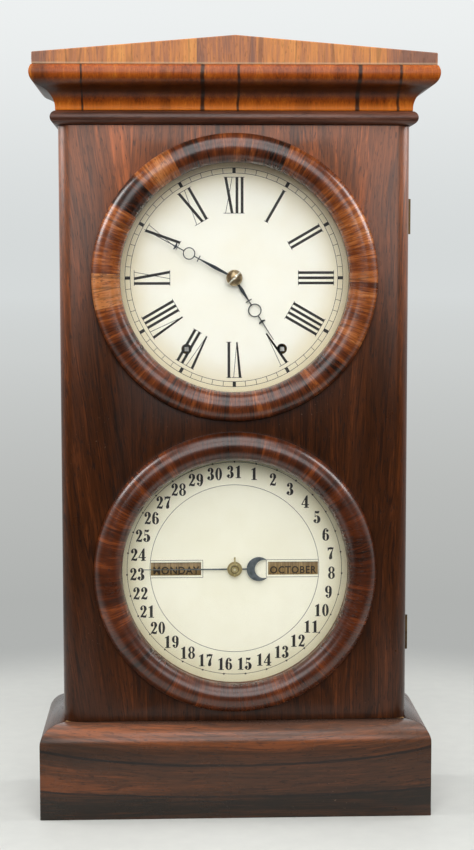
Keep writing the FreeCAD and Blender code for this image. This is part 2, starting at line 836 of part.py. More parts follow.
def build_frame():
    small = (center_axis, time_second_axis, strike_second_axis, third_axis,
             escape_axis, verge_axis, fly_axis)
    winding = (time_axis, strike_axis)
    front = plate_blank(front_plate_y, inner_front_y)
    front = front.cut(pivot_holes(small[1:], pivot_radius, front_plate_y, inner_front_y)
                      + pivot_holes(small[:1], cannon_bore, front_plate_y, inner_front_y)
                      + pivot_holes(winding, winding_arbor_radius,
                                    front_plate_y, inner_front_y))
    stud = disc(*minute_axis, pivot_radius, minute_wheel_y - pinion_length - loose_gap,
                front_plate_y)
    save("movement_front_plate", fused(front, stud))
    back = plate_blank(inner_back_y, back_plate_y)
    back = back.cut(pivot_holes(small[:5] + small[6:], pivot_radius,
                                inner_back_y, back_plate_y)
                    + pivot_holes((verge_axis,), crutch_thickness, inner_back_y, back_plate_y)
                    + pivot_holes(winding, arbor_radius, inner_back_y, back_plate_y))
    cock_low = verge_axis[1] + suspension_stud_height
    cock = box(-suspension_width, suspension_width, back_plate_y,
               pendulum_y + suspension_width, cock_low, cock_low + suspension_stud_height)
    sweep = 2 * suspension_stud_height * math.sin(math.radians(verge_swing))
    slot_half = suspension_ribbon / 2 + sweep + run_gap
    slot = box(-slot_half, slot_half, pendulum_y - suspension_width / 2 - loose_gap,
               pendulum_y + suspension_width, cock_low, cock_low + suspension_stud_height)
    hammer_stud = disc(*hammer_axis, hammer_stud_radius, back_plate_y,
                       back_plate_y + 2 * pinion_length)
    lug_low = upper_center_z - plate_drop
    lug = box(lift_rod_x - lift_lug_width / 2, lift_rod_x + lift_lug_width / 2,
              back_plate_y, lift_rod_y + lift_lug_width / 2,
              lug_low, lug_low + lift_lug_height)
    eye = rod(Vec(lift_rod_x, lift_rod_y, lug_low),
              Vec(lift_rod_x, lift_rod_y, lug_low + lift_lug_height),
              lift_rod_radius + run_gap)
    save("movement_back_plate", fused(back, cock.cut(slot), hammer_stud, lug.cut(eye)))
    posts = [disc(x, z, pillar_radius, inner_front_y, inner_back_y)
             for x, z in pillar_places()]
    posts += [disc(x, z, foot_radius, back_plate_y, inside_back_y)
              for x, z in feet_places()]
    spring_back_y = mainspring_front_y + mainspring_width
    posts += [disc(*spring_post_place(side), spring_post_radius, inner_front_y, spring_back_y)
              for side in (-1, 1)]
    save("movement_posts", *posts)


def spiral_face(center, first_radius, last_radius, turns, width, end_angle, y):
    """Flat spiral strip made of half circles, its outer end at end_angle."""
    halves = 2 * turns
    growth = (last_radius - first_radius) / halves
    turn = math.radians(end_angle)

    def place(u, v):
        return Vec(center[0] + u * math.cos(turn) - v * math.sin(turn), y,
                   center[1] + u * math.sin(turn) + v * math.cos(turn))

    def side(offset):
        steps = []
        sign = 1 if halves % 2 == 0 else -1
        u = sign * (first_radius + offset)
        start = (u, 0)
        for index in range(halves):
            radius = first_radius + growth * (index + 0.5) + offset
            middle = u - math.copysign(radius, u)
            up = radius if u > 0 else -radius
            u = middle - math.copysign(radius, u)
            steps.append(((middle, up), (u, 0)))
        return start, steps

    outer_start, outer_steps = side(width / 2)
    inner_start, inner_steps = side(-width / 2)
    back_steps = []
    ends = [inner_start] + [step[1] for step in inner_steps]
    for index in range(halves - 1, -1, -1):
        back_steps.append((inner_steps[index][0], ends[index]))
    return outline(place, outer_start, *outer_steps, ends[-1], *back_steps)


def build_winding_work():
    springs = []
    for name, axis, side in (("time", time_axis, 1), ("strike", strike_axis, -1)):
        x, z = axis
        body = disc(x, z, winding_arbor_radius, front_plate_y - movement_gap,
                    inner_back_y - loose_gap)
        half = winding_square / 2
        square = box(x - half, x + half, dial_front_y - winding_square_reach,
                     front_plate_y, z - half, z + half)
        hub = disc(x, z, winding_hub_radius, inner_front_y + loose_gap,
                   mainspring_front_y + mainspring_width)
        pivot = disc(x, z, arbor_radius, inner_back_y - movement_gap, back_plate_y)
        points = []
        for index in range(ratchet_teeth):
            angle = index * 360 / ratchet_teeth
            points.append(polar(x, z, ratchet_radius, angle))
            points.append(polar(x, z, ratchet_radius - ratchet_tooth_depth,
                                angle + ratchet_tooth_lead))
        ratchet = slab(points, ratchet_front_y, ratchet_front_y + ratchet_thickness)
        save(name + "_winding_arbor", fused(body, square, hub, pivot, ratchet))
        first = winding_hub_radius + mainspring_ribbon / 2 + loose_gap
        face = spiral_face(axis, first, mainspring_outer_radius, mainspring_turns,
                           mainspring_ribbon, mainspring_end(side), mainspring_front_y)
        springs.append(face.extrude(Vec(0, mainspring_width, 0)))
    save("mainsprings", *springs)


def great_wheel(axis, first_angle):
    """Great wheel that runs on the winding arbor and carries the click."""
    back = great_front_y + great_wheel_thickness
    wheel = toothed(great_teeth, great_module, axis, great_front_y, back, first_angle)
    wheel = wheel.cut(disc(*axis, winding_arbor_radius + run_gap, great_front_y, back))
    low = axis[1] + ratchet_radius + loose_gap
    click = box(axis[0] - click_tail, axis[0] + click_reach, ratchet_front_y + loose_gap,
                great_front_y, low, low + click_height)
    return fused(wheel, click)


def build_going_train():
    great_angle = 0.0
    second_pinion_angle = mesh_angle(time_axis, great_teeth, great_angle,
                                     time_second_axis, second_pinion_teeth)
    save("time_great_wheel", great_wheel(time_axis, great_angle))
    second_back = second_front_y + wheel_thickness
    wheel = toothed(second_teeth, second_module, time_second_axis,
                    second_front_y, second_back, second_pinion_angle)
    wheel = lightened(wheel, second_teeth, second_module, time_second_axis,
                      second_front_y, second_back)
    pinion_front = great_front_y - pinion_length / 3
    pinion = toothed(second_pinion_teeth, great_module, time_second_axis, pinion_front,
                     pinion_front + pinion_length, second_pinion_angle)
    save("time_second_wheel", fused(wheel, pinion, stout_arbor(time_second_axis)))
    center_angle = mesh_angle(time_second_axis, second_teeth, second_pinion_angle,
                              center_axis, center_pinion_teeth)
    center_back = center_front_y + wheel_thickness
    wheel = toothed(center_teeth, center_module, center_axis,
                    center_front_y, center_back, center_angle)
    wheel = lightened(wheel, center_teeth, center_module, center_axis,
                      center_front_y, center_back)
    pinion = toothed(center_pinion_teeth, second_module, center_axis,
                     second_front_y - loose_gap, second_back + loose_gap, center_angle)
    front_end = disc(*center_axis, cannon_bore - run_gap,
                     minute_hand_y - taper_pin_radius, inner_front_y + loose_gap)
    save("center_wheel", fused(wheel, pinion, front_end,
                               disc(*center_axis, arbor_radius, inner_front_y + loose_gap,
                                    inner_back_y - loose_gap),
                               disc(*center_axis, pivot_radius, inner_back_y - loose_gap,
                                    back_plate_y)))
    third_angle = mesh_angle(center_axis, center_teeth, center_angle,
                             third_axis, third_pinion_teeth)
    third_back = third_front_y + wheel_thickness
    wheel = toothed(third_teeth, third_module, third_axis, third_front_y, third_back,
                    third_angle)
    wheel = lightened(wheel, third_teeth, third_module, third_axis,
                      third_front_y, third_back)
    pinion = toothed(third_pinion_teeth, center_module, third_axis,
                     center_front_y - loose_gap, center_back + loose_gap, third_angle)
    save("third_wheel", fused(wheel, pinion, thin_arbor(third_axis)))
    escape_angle = mesh_angle(third_axis, third_teeth, third_angle,
                              escape_axis, escape_pinion_teeth)
    points = []
    root = escape_radius - escape_tooth_depth
    for index in range(escape_teeth):
        angle = escape_angle + index * 360 / escape_teeth
        points.append(polar(*escape_axis, escape_radius, angle))
        points.append(polar(*escape_axis, root, angle + escape_tooth_lead))
        points.append(polar(*escape_axis, root, angle + escape_tooth_span))
    wheel = slab(points, escape_front_y, escape_front_y + wheel_thickness)
    pinion = toothed(escape_pinion_teeth, third_module, escape_axis,
                     third_front_y - loose_gap, third_back + loose_gap, escape_angle)
    save("escape_wheel", fused(wheel, pinion, thin_arbor(escape_axis)))


def build_strike_train():
    great_angle = 180.0
    save("strike_great_wheel", great_wheel(strike_axis, great_angle))
    pinion_angle = mesh_angle(strike_axis, great_teeth, great_angle,
                              strike_second_axis, second_pinion_teeth)
    back = strike_second_front_y + wheel_thickness
    wheel = toothed(second_teeth, second_module, strike_second_axis,
                    strike_second_front_y, back, pinion_angle)
    wheel = lightened(wheel, second_teeth, second_module, strike_second_axis,
                      strike_second_front_y, back)
    pinion_front = great_front_y - pinion_length / 3
    pinion = toothed(second_pinion_teeth, great_module, strike_second_axis, pinion_front,
                     pinion_front + pinion_length, pinion_angle)
    save("strike_second_wheel", fused(wheel, pinion, stout_arbor(strike_second_axis)))
    fly_angle = mesh_angle(strike_second_axis, second_teeth, pinion_angle,
                           fly_axis, fly_pinion_teeth)
    pinion = toothed(fly_pinion_teeth, second_module, fly_axis,
                     strike_second_front_y - loose_gap, back + loose_gap, fly_angle)
    x, z = fly_axis
    vane_back = inner_back_y - fly_back_gap
    vane = box(x - fly_half_width, x + fly_half_width, vane_back - fly_length, vane_back,
               z - fly_thickness / 2, z + fly_thickness / 2)
    save("strike_fly", fused(pinion, vane, thin_arbor(fly_axis)))


def build_motion_work():
    cannon_angle = 0.0
    wheel_front = minute_wheel_y - wheel_thickness
    leaves = toothed(cannon_teeth, cannon_module, center_axis, wheel_front - loose_gap,
                     minute_wheel_y + loose_gap, cannon_angle)
    pipe = disc(*center_axis, cannon_radius, minute_hand_y, front_plate_y - loose_gap)
    cannon = fused(leaves, pipe).cut(disc(*center_axis, cannon_bore, minute_hand_y,
                                          front_plate_y))
    x, z = center_axis
    dome = lambda r, h: Vec(x + r, minute_hand_y - h, z)
    face = outline(dome, (0, 0), (cap_radius, 0),
                   ((cap_radius * math.cos(math.radians(cap_arc)),
                     cap_height * math.sin(math.radians(cap_arc))), (0, cap_height)))
    cap = face.revolve(Vec(x, 0, z), Vec(0, 1, 0), 360)
    cap = cap.cut(disc(x, z, cannon_bore, minute_hand_y - taper_pin_radius - loose_gap,
                       minute_hand_y))
    pin_y = minute_hand_y - cap_height + taper_pin_radius
    start = polar(x, z, taper_pin_length / 2, taper_pin_angle)
    end = polar(x, z, taper_pin_length / 2, taper_pin_angle + 180)
    pin = rod(Vec(start[0], pin_y, start[1]), Vec(end[0], pin_y, end[1]), taper_pin_radius)
    save("cannon_pinion", cannon, fused(cap, pin))
    minute_angle = mesh_angle(center_axis, cannon_teeth, cannon_angle,
                              minute_axis, minute_wheel_teeth)
    wheel = toothed(minute_wheel_teeth, cannon_module, minute_axis, wheel_front,
                    minute_wheel_y, minute_angle)
    hour_back = hour_wheel_y
    hour_front = hour_wheel_y - wheel_thickness
    pinion = toothed(minute_pinion_teeth, minute_pinion_module, minute_axis,
                     hour_front - loose_gap, wheel_front, minute_angle)
    minute = fused(wheel, pinion)
    save("minute_wheel", minute.cut(disc(*minute_axis, pivot_radius + run_gap,
                                         hour_front - movement_gap, minute_wheel_y)))
    hour_angle = mesh_angle(minute_axis, minute_pinion_teeth, minute_angle,
                            center_axis, hour_wheel_teeth)
    wheel = toothed(hour_wheel_teeth, minute_pinion_module, center_axis,
                    hour_front, hour_back, hour_angle)
    pipe = disc(*center_axis, hour_pipe_radius, hour_hand_y, hour_back)
    save("hour_wheel", fused(wheel, pipe).cut(disc(*center_axis, hour_pipe_bore,
                                                   hour_hand_y, hour_back)))


def build_verge_and_pendulum():
    x, z = verge_axis
    sweep = pallet_half_span * math.sin(math.radians(verge_swing))
    tip_reach = escape_radius + sweep + 2 * loose_gap
    tip_x = pallet_half_span
    tip_z = escape_axis[1] + math.sqrt(tip_reach ** 2 - tip_x ** 2)
    right = ((tip_x + 2 * pallet_width, tip_z + pallet_rise + pallet_width),
             (tip_x + pallet_width, tip_z), (tip_x, tip_z),
             (tip_x - 2 * pallet_width, tip_z + pallet_rise))
    left = tuple((-px, pz) for px, pz in reversed(right))
    anchor = slab(((0, z + anchor_rise),) + right + ((0, z - anchor_drop),) + left,
                  escape_front_y - loose_gap, escape_front_y + wheel_thickness + loose_gap)
    crutch_front = back_plate_y + crutch_gap
    staff = fused(disc(x, z, crutch_thickness, inner_front_y + loose_gap,
                       crutch_front + crutch_thickness),
                  disc(x, z, pivot_radius, front_plate_y, inner_front_y + loose_gap))
    fork_top = z - crutch_length
    fork_low = fork_top - crutch_fork_height
    leg = box(-crutch_thickness, crutch_thickness, crutch_front,
              crutch_front + crutch_thickness, fork_low, z)
    slot = pendulum_rod_radius + loose_gap
    fork_back = pendulum_y + pendulum_rod_radius
    fork = box(-slot - crutch_thickness, slot + crutch_thickness, crutch_front,
               fork_back, fork_low, fork_top)
    fork = fork.cut(box(-slot, slot, crutch_front + crutch_thickness, fork_back,
                        fork_low, fork_top))
    save("verge", fused(anchor, staff, leg, fork))
    bob_z = z - pendulum_length
    ribbon = box(x - suspension_ribbon / 2, x + suspension_ribbon / 2,
                 pendulum_y - suspension_width / 2, pendulum_y + suspension_width / 2,
                 z - 2 * pendulum_rod_radius, z + 2 * suspension_stud_height)
    wire = rod(Vec(x, pendulum_y, bob_z - bob_radius - rod_tail),
               Vec(x, pendulum_y, z - pendulum_rod_radius), pendulum_rod_radius)
    half = bob_thickness / 2
    shoulder = bob_radius * bob_shoulder
    face = outline(lambda r, y: Vec(x + r, pendulum_y + y, bob_z), (0, -half),
                   ((shoulder, -half * bob_shoulder_depth), (bob_radius, 0)),
                   ((shoulder, half * bob_shoulder_depth), (0, half)))
    bob = face.revolve(Vec(x, 0, bob_z), Vec(0, 1, 0), 360)
    bore = rod(Vec(x, pendulum_y, bob_z - bob_radius), Vec(x, pendulum_y, bob_z + bob_radius),
               pendulum_rod_radius + run_gap)
    nut_top = bob_z - bob_radius
    nut = rod(Vec(x, pendulum_y, nut_top - rating_nut_height), Vec(x, pendulum_y, nut_top),
              rating_nut_radius)
    save("pendulum", fused(ribbon, wire, nut), bob.cut(bore))


def build_striking_parts():
    gong_y = inside_back_y - gong_standoff - gong_wire
    post = disc(gong_x, gong_z, gong_post_radius, gong_y, inside_back_y)
    face = spiral_face((gong_x, gong_z), gong_post_radius, gong_radius, gong_turns,
                       gong_wire, gong_end_angle, gong_y)
    save("gong", fused(post, face.extrude(Vec(0, gong_wire, 0))))
    x, z = hammer_axis
    head_z = gong_z + gong_radius + gong_wire / 2 + hammer_gap + hammer_head_radius
    head_x = gong_x + hammer_arm
    front = back_plate_y + loose_gap
    arm_front = front + hammer_arm
    lean = math.radians(bearing((x, z), (head_x, head_z)))
    side = (-math.sin(lean), math.cos(lean))
    arm = slab(((x + side[0], z + side[1]), (x - side[0], z - side[1]),
                (head_x - side[0], head_z - side[1]), (head_x + side[0], head_z + side[1])),
               arm_front, arm_front + hammer_arm)
    hub = disc(x, z, hammer_hub_radius, front, front + pinion_length)
    head = disc(head_x, head_z, hammer_head_radius, arm_front,
                gong_y + gong_wire + loose_gap)
    hammer = fused(arm, hub, head)
    save("hammer", hammer.cut(disc(x, z, hammer_stud_radius + run_gap,
                                   back_plate_y, back_plate_y + 2 * pinion_length)))


def roller(side, radius):
    """Lettered drum on its axle, with its rim just behind a window of the dial."""
    y = dial_back_y + roller_gap + radius
    near = window_inner_x
    far = window_inner_x + window_width
    start = side * near
    end = side * far
    step = 1 if end > start else -1
    drum = rod(Vec(start, y, lower_center_z), Vec(end, y, lower_center_z), radius)
    axle_reach = roller_side_gap + frame_plate
    axle = rod(Vec(start - step * axle_reach, y, lower_center_z),
               Vec(end + step * axle_reach, y, lower_center_z), roller_axle_radius)
    return fused(drum, axle)


def roller_cheeks(side, radius):
    """The two frame plates that carry the axle of one roller."""
    y = dial_back_y + roller_gap + radius
    cheeks = []
    for x in (window_inner_x - roller_side_gap - frame_plate,
              window_inner_x + window_width + roller_side_gap):
        low = min(side * x, side * (x + frame_plate))
        cheek = box(low, low + frame_plate, dial_back_y + cheek_setback, calendar_plate_y,
                    lower_center_z - cheek_half_height, lower_center_z + cheek_half_height)
        hole = rod(Vec(low, y, lower_center_z), Vec(low + frame_plate, y, lower_center_z),
                   roller_axle_radius + run_gap)
        cheeks.append(cheek.cut(hole))
    return cheeks


calendar_plate_y = dial_back_y + roller_gap + 2 * month_roller_radius + roller_side_gap


def build_calendar():
    z = lower_center_z
    back = calendar_plate_y + frame_plate
    low_batten, middle_batten, _ = batten_levels()
    high_post = middle_batten[0] + frame_post_inset
    low_post = low_batten[1] - frame_post_inset
    reach = window_inner_x + window_width + roller_side_gap + frame_plate
    half_strap = frame_strap_width / 2
    pieces = [box(-reach, reach, calendar_plate_y, back,
                  z - frame_half_height, z + frame_half_height)]
    for side in (-1, 1):
        x = side * frame_strap_x
        pieces.append(box(x - half_strap, x + half_strap, calendar_plate_y, back,
                          low_post - half_strap, high_post + half_strap))
        for level in (low_post, high_post):
            pieces.append(disc(x, level, frame_post_radius, batten_back_y, calendar_plate_y))
        pieces += roller_cheeks(side, day_roller_radius if side < 0 else month_roller_radius)
    bridge_reach = window_inner_x - roller_side_gap - frame_plate
    bridge_y = dial_back_y + bridge_setback
    pieces.append(box(-bridge_reach, bridge_reach, bridge_y, bridge_y + frame_plate,
                      z - bridge_half_height, z + bridge_half_height))
    lug_low = z + frame_half_height
    lug = box(lift_rod_x - lift_lug_width / 2, lift_rod_x + lift_lug_width / 2,
              calendar_plate_y, lift_rod_y + lift_lug_width / 2,
              lug_low, lug_low + lift_lug_height)
    pieces.append(lug)
    frame = fused(pieces[0], *pieces[1:])
    frame = frame.cut(disc(0, z, date_arbor_radius + run_gap, bridge_y, back))
    rod_low = z - lift_foot_drop
    rod_high = upper_center_z - plate_drop + lift_lug_height + loose_gap
    frame = frame.cut(rod(Vec(lift_rod_x, lift_rod_y, lug_low),
                          Vec(lift_rod_x, lift_rod_y, lug_low + lift_lug_height),
                          lift_rod_radius + run_gap))
    save("calendar_frame", frame)
    lift = rod(Vec(lift_rod_x, lift_rod_y, rod_low),
               Vec(lift_rod_x, lift_rod_y, rod_high + lift_collar_height), lift_rod_radius)
    collar = rod(Vec(lift_rod_x, lift_rod_y, rod_high),
                 Vec(lift_rod_x, lift_rod_y, rod_high + lift_collar_height),
                 lift_collar_radius)
    save("calendar_lift_rod", fused(lift, collar))
    save("day_roller", roller(-1, day_roller_radius))
    save("month_roller", roller(1, month_roller_radius))
    wheel_y = back + date_wheel_gap
    wheel = toothed(date_teeth, 2 * date_wheel_radius / date_teeth, (0, z),
                    wheel_y, wheel_y + wheel_thickness, 90)
    hand_y = dial_front_y - date_hand_standoff - hand_thickness
    staff = disc(0, z, date_arbor_radius, hand_y + hand_thickness,
                 wheel_y + wheel_thickness + date_wheel_gap)
    hub_front = hand_y - date_hub_height
    boss = disc(0, z, date_boss_radius, hub_front, hand_y)
    hub = boss.fuse(disc(0, z, date_hub_radius, hand_y - date_hub_rim_height, hand_y))
    pin_y = hub_front + taper_pin_radius / 2
    pin = rod(Vec(0, pin_y, z - date_pin_drop), Vec(0, pin_y, z + date_pin_rise),
              taper_pin_radius)
    nose = disc(0, z, date_arbor_radius - run_gap, hand_y, hand_y + hand_thickness)
    save("date_wheel", fused(wheel, staff, nose, hub, pin))
    needle = outline(upright(hand_y), (0, z + date_hand_root_width / 2),
                     (-date_hand_length, z + date_hand_tip_width / 2),
                     (-date_hand_length, z - date_hand_tip_width / 2),
                     (0, z - date_hand_root_width / 2))
    needle = needle.extrude(Vec(0, hand_thickness, 0))
    tail = box(0, crescent_center - crescent_radius + date_hand_root_width / 2, hand_y,
               hand_y + hand_thickness, z - date_hand_root_width / 2,
               z + date_hand_root_width / 2)
    moon = disc(crescent_center, z, crescent_radius, hand_y, hand_y + hand_thickness)
    moon = moon.cut(disc(crescent_cut_center, z, crescent_cut_radius,
                         hand_y, hand_y + hand_thickness))
    collet = disc(0, z, date_hub_radius + date_collet_rim, hand_y, hand_y + hand_thickness)
    hand = fused(needle, tail, moon, collet)
    save("date_hand", hand.cut(disc(0, z, date_arbor_radius, hand_y,
                                    hand_y + hand_thickness)))


build_base()
build_case()
build_crown()
catch_plate, catch_tongue = build_door()
save("door_catch", fused(catch_plate, catch_tongue))
build_hinges()
build_dials()
build_hands()
build_frame()
build_winding_work()
build_going_train()
build_strike_train()
build_motion_work()
build_verge_and_pendulum()
build_striking_parts()
build_calendar()
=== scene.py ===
import math
import bpy
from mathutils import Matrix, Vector


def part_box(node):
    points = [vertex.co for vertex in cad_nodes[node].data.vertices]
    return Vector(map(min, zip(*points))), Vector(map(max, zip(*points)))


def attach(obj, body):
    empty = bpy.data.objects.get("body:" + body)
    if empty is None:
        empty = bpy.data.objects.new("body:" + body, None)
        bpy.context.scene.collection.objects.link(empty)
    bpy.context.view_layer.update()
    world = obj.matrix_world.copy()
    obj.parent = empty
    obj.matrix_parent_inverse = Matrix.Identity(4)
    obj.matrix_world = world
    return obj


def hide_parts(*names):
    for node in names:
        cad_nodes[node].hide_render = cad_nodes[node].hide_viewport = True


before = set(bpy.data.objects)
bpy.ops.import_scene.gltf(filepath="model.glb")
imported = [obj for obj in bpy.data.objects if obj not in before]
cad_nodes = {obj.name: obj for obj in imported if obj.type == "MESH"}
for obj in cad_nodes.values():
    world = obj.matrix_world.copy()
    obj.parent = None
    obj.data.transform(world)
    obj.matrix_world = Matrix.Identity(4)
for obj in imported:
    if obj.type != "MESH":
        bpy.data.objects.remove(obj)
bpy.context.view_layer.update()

# Sizes are in metres, written as millimetres times MM. X is to the right, Y to the back, Z up.
MM = 0.001
DEGREE = math.pi / 180
FACE_FRONT = (math.pi / 2, 0, 0)

# Places taken from the frame
low_corner, high_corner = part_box("door_panel")
DOOR_FRONT = low_corner.y
DOOR_HALF = high_corner.x
CASE_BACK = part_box("case_backboard")[1].y
BASE_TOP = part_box("base_board_front")[1].z
BEAD_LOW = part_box("neck_bead_front")[0].z
BEAD_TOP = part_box("neck_bead_front")[1].z
CORNICE_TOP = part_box("cornice_front")[1].z
DIAL_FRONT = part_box("upper_dial")[0].y
TIME_Z = sum(corner.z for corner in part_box("upper_bezel")) / 2
DATE_Z = sum(corner.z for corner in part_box("lower_bezel")) / 2

# Mouldings, as on the frame
BASE_OVERHANG = 20.0 * MM
BASE_BOARD = 22.0 * MM
BASE_SHOULDER = 17.0 * MM
BEAD_BOARD = 12.0 * MM
CORNICE_BOARD = 14.0 * MM
CORNICE_OVERHANG = 22.5 * MM
CORNICE_FILLET = 1.5 * MM
CORNICE_FILLET_HEIGHT = 1.7 * MM
COVE_RADIUS = 19.0 * MM
NOSE_DROP = 6.6 * MM
GABLE_SETBACK = 2.5 * MM
BEZEL_INNER = 100.5 * MM
BEZEL_WIDTH = 25.0 * MM
BEZEL_PROJECTION = 13.0 * MM
BEZEL_INNER_LIP = 3.5 * MM
BEZEL_OUTER_LIP = 4.5 * MM
BEZEL_CREST = 0.56
DOOR_EDGE_ROUND = 13.0 * MM
DOOR_HOLE = 104.9 * MM
ROUND_STEPS = 14
RING_SIDES = 192
EDGE_SOFTNESS = 0.5 * MM
WELD = 0.01 * MM

# Printing on the dials
PRINT_Y = DIAL_FRONT - 0.06 * MM
MINUTE_RING_OUTER = 97.0 * MM
MINUTE_RING_INNER = 92.4 * MM
FINE_LINE = 0.42 * MM
MINUTE_BLOCK = 2.9 * MM
WORD_DROP = 1.6 * MM
NUMERAL_FOOT = 57.0 * MM
NUMERAL_HEAD = 88.6 * MM
NUMERAL_STROKE = 2.4 * MM
NUMERAL_PITCH = 4.6 * MM
DATE_RING_OUTER = 96.9 * MM
DATE_RING_INNER = 76.3 * MM
DATE_NUMERAL_RADIUS = 87.7 * MM
DATE_NUMERAL_HEIGHT = 11.2 * MM
DATE_DOT = 0.85 * MM


# Building pieces

def start_piece(name, add_primitive, **settings):
    """Adds a primitive and opens it for editing, with all of it selected."""
    bpy.ops.object.select_all(action="DESELECT")
    add_primitive(**settings)
    piece = bpy.context.object
    piece.name = piece.data.name = name
    bpy.ops.object.mode_set(mode="EDIT")
    return piece


def pick(piece, wanted, kind="VERT"):
    """Selects the vertices, edges or faces whose centre passes the test."""
    bpy.ops.mesh.select_mode(type=kind)
    bpy.ops.mesh.select_all(action="DESELECT")
    bpy.ops.object.mode_set(mode="OBJECT")
    mesh = piece.data
    place = piece.matrix_world
    if kind == "VERT":
        for vertex in mesh.vertices:
            vertex.select = wanted(place @ vertex.co)
    elif kind == "EDGE":
        for edge in mesh.edges:
            ends = [place @ mesh.vertices[index].co for index in edge.vertices]
            edge.select = all(wanted(end) for end in ends)
    else:
        for face in mesh.polygons:
            face.select = wanted(place @ face.center)
    bpy.ops.object.mode_set(mode="EDIT")


def close_piece(piece, outward=True):
    """Welds the mesh, turns its faces outward and leaves the object at the origin."""
    bpy.ops.mesh.select_all(action="SELECT")
    bpy.ops.mesh.remove_doubles(threshold=WELD)
    if outward:
        bpy.ops.mesh.normals_make_consistent(inside=False)
    bpy.ops.object.mode_set(mode="OBJECT")
    bpy.ops.object.transform_apply(location=True, rotation=True, scale=True)
    return piece


def soften(piece, width=EDGE_SOFTNESS, segments=2, limit=35):
    """Rounds the sharp edges a little and shades the rest smooth."""
    edge = piece.modifiers.new("soft_edges", "BEVEL")
    edge.width = width
    edge.segments = segments
    edge.limit_method = "ANGLE"
    edge.angle_limit = limit * DEGREE
    bpy.ops.object.modifier_apply(modifier=edge.name)
    bpy.ops.object.shade_smooth_by_angle(angle=limit * DEGREE)


def install(piece, material, body, slot, *nodes):
    """Gives a piece its finish and its place among the bodies of the clock."""
    piece.data.materials.clear()
    piece.data.materials.append(material)
    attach(piece, body)
    if nodes:
        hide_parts(*nodes)


def joined(name, pieces):
    bpy.ops.object.select_all(action="DESELECT")
    for piece in pieces:
        piece.select_set(True)
    bpy.context.view_layer.objects.active = pieces[0]
    bpy.ops.object.join()
    pieces[0].name = pieces[0].data.name = name
    return pieces[0]


def arc(start, through, end, steps=ROUND_STEPS):
    """Points on the round stretch from start, by way of one point, to end."""
    ax, ay = start
    bx, by = through
    cx, cy = end
    twist = 2 * (ax * (by - cy) + bx * (cy - ay) + cx * (ay - by))
    a, b, c = ax * ax + ay * ay, bx * bx + by * by, cx * cx + cy * cy
    mx = (a * (by - cy) + b * (cy - ay) + c * (ay - by)) / twist
    my = (a * (cx - bx) + b * (ax - cx) + c * (bx - ax)) / twist
    first = math.atan2(ay - my, ax - mx)
    last = math.atan2(cy - my, cx - mx)
    turn = (last - first) % (2 * math.pi)
    half = (math.atan2(by - my, bx - mx) - first) % (2 * math.pi)
    if half > turn:
        turn -= 2 * math.pi
    radius = math.hypot(ax - mx, ay - my)
    return [(mx + radius * math.cos(first + turn * step / steps),
             my + radius * math.sin(first + turn * step / steps)) for step in range(steps + 1)]


# Turned bezels

def bezel_section():
    outer = BEZEL_INNER + BEZEL_WIDTH
    crest = (BEZEL_INNER + BEZEL_CREST * BEZEL_WIDTH, BEZEL_PROJECTION)
    front = arc((BEZEL_INNER, BEZEL_INNER_LIP), crest, (outer, BEZEL_OUTER_LIP), 2 * ROUND_STEPS)
    return [(BEZEL_INNER, 0)] + front + [(outer, 0), (BEZEL_INNER, 0)]


def turn_bezel(name, height):
    """Builds the ring from its inner edge outwards: each step widens and lifts the last circle."""
    section = bezel_section()
    radius, rise = section[0]
    center = Vector((0, DOOR_FRONT - rise, height))
    piece = start_piece(name, bpy.ops.mesh.primitive_circle_add, vertices=RING_SIDES,
                        radius=radius, location=center, rotation=FACE_FRONT)
    for wider, higher in section[1:]:
        bpy.ops.mesh.extrude_edges_move(TRANSFORM_OT_translate={"value": (0, rise - higher, 0)})
        center.y = DOOR_FRONT - higher
        growth = wider / radius
        bpy.ops.transform.resize(value=(growth, 1, growth), center_override=center)
        radius, rise = wider, higher
    close_piece(piece)
    soften(piece)
    return piece


# Mitred mouldings on the front and the sides of the case

def base_section():
    inner = BASE_OVERHANG - BASE_BOARD
    low = BASE_TOP - BASE_SHOULDER
    back = BASE_OVERHANG - BASE_SHOULDER
    lean = BASE_SHOULDER * math.cos(math.pi / 4)
    shoulder = arc((BASE_OVERHANG, low), (back + lean, low + lean), (back, BASE_TOP))
    return [(inner, 0), (BASE_OVERHANG, 0)] + shoulder + [(inner, BASE_TOP)]


def bead_section():
    radius = (BEAD_TOP - BEAD_LOW) / 2
    nose = arc((0, BEAD_LOW), (radius, BEAD_LOW + radius), (0, BEAD_TOP))
    return [(-BEAD_BOARD, BEAD_LOW)] + nose + [(-BEAD_BOARD, BEAD_TOP)]


def cornice_section():
    cove_p = CORNICE_FILLET + COVE_RADIUS
    cove_z = BEAD_TOP + CORNICE_FILLET_HEIGHT
    rise = CORNICE_TOP - NOSE_DROP - cove_z
    reach = CORNICE_OVERHANG - cove_p
    radius = (rise ** 2 + reach ** 2 - COVE_RADIUS ** 2) / (2 * (COVE_RADIUS + reach))
    nose_p = CORNICE_OVERHANG - radius
    nose_z = cove_z + rise
    lean = math.atan2(rise, nose_p - cove_p)
    on_cove = lambda turn: (cove_p + COVE_RADIUS * math.cos(turn), cove_z + COVE_RADIUS * math.sin(turn))
    on_nose = lambda turn: (nose_p + radius * math.cos(turn), nose_z + radius * math.sin(turn))
    top = math.asin(NOSE_DROP / radius)
    cove = arc((CORNICE_FILLET, cove_z), on_cove((math.pi + lean) / 2), on_cove(lean))
    nose = arc(on_nose(lean - math.pi), on_nose((lean + top - math.pi) / 2), on_nose(top), 2 * ROUND_STEPS)
    return ([(-CORNICE_BOARD, BEAD_TOP), (CORNICE_FILLET, BEAD_TOP)] + cove + nose
            + [(-CORNICE_BOARD, CORNICE_TOP)])


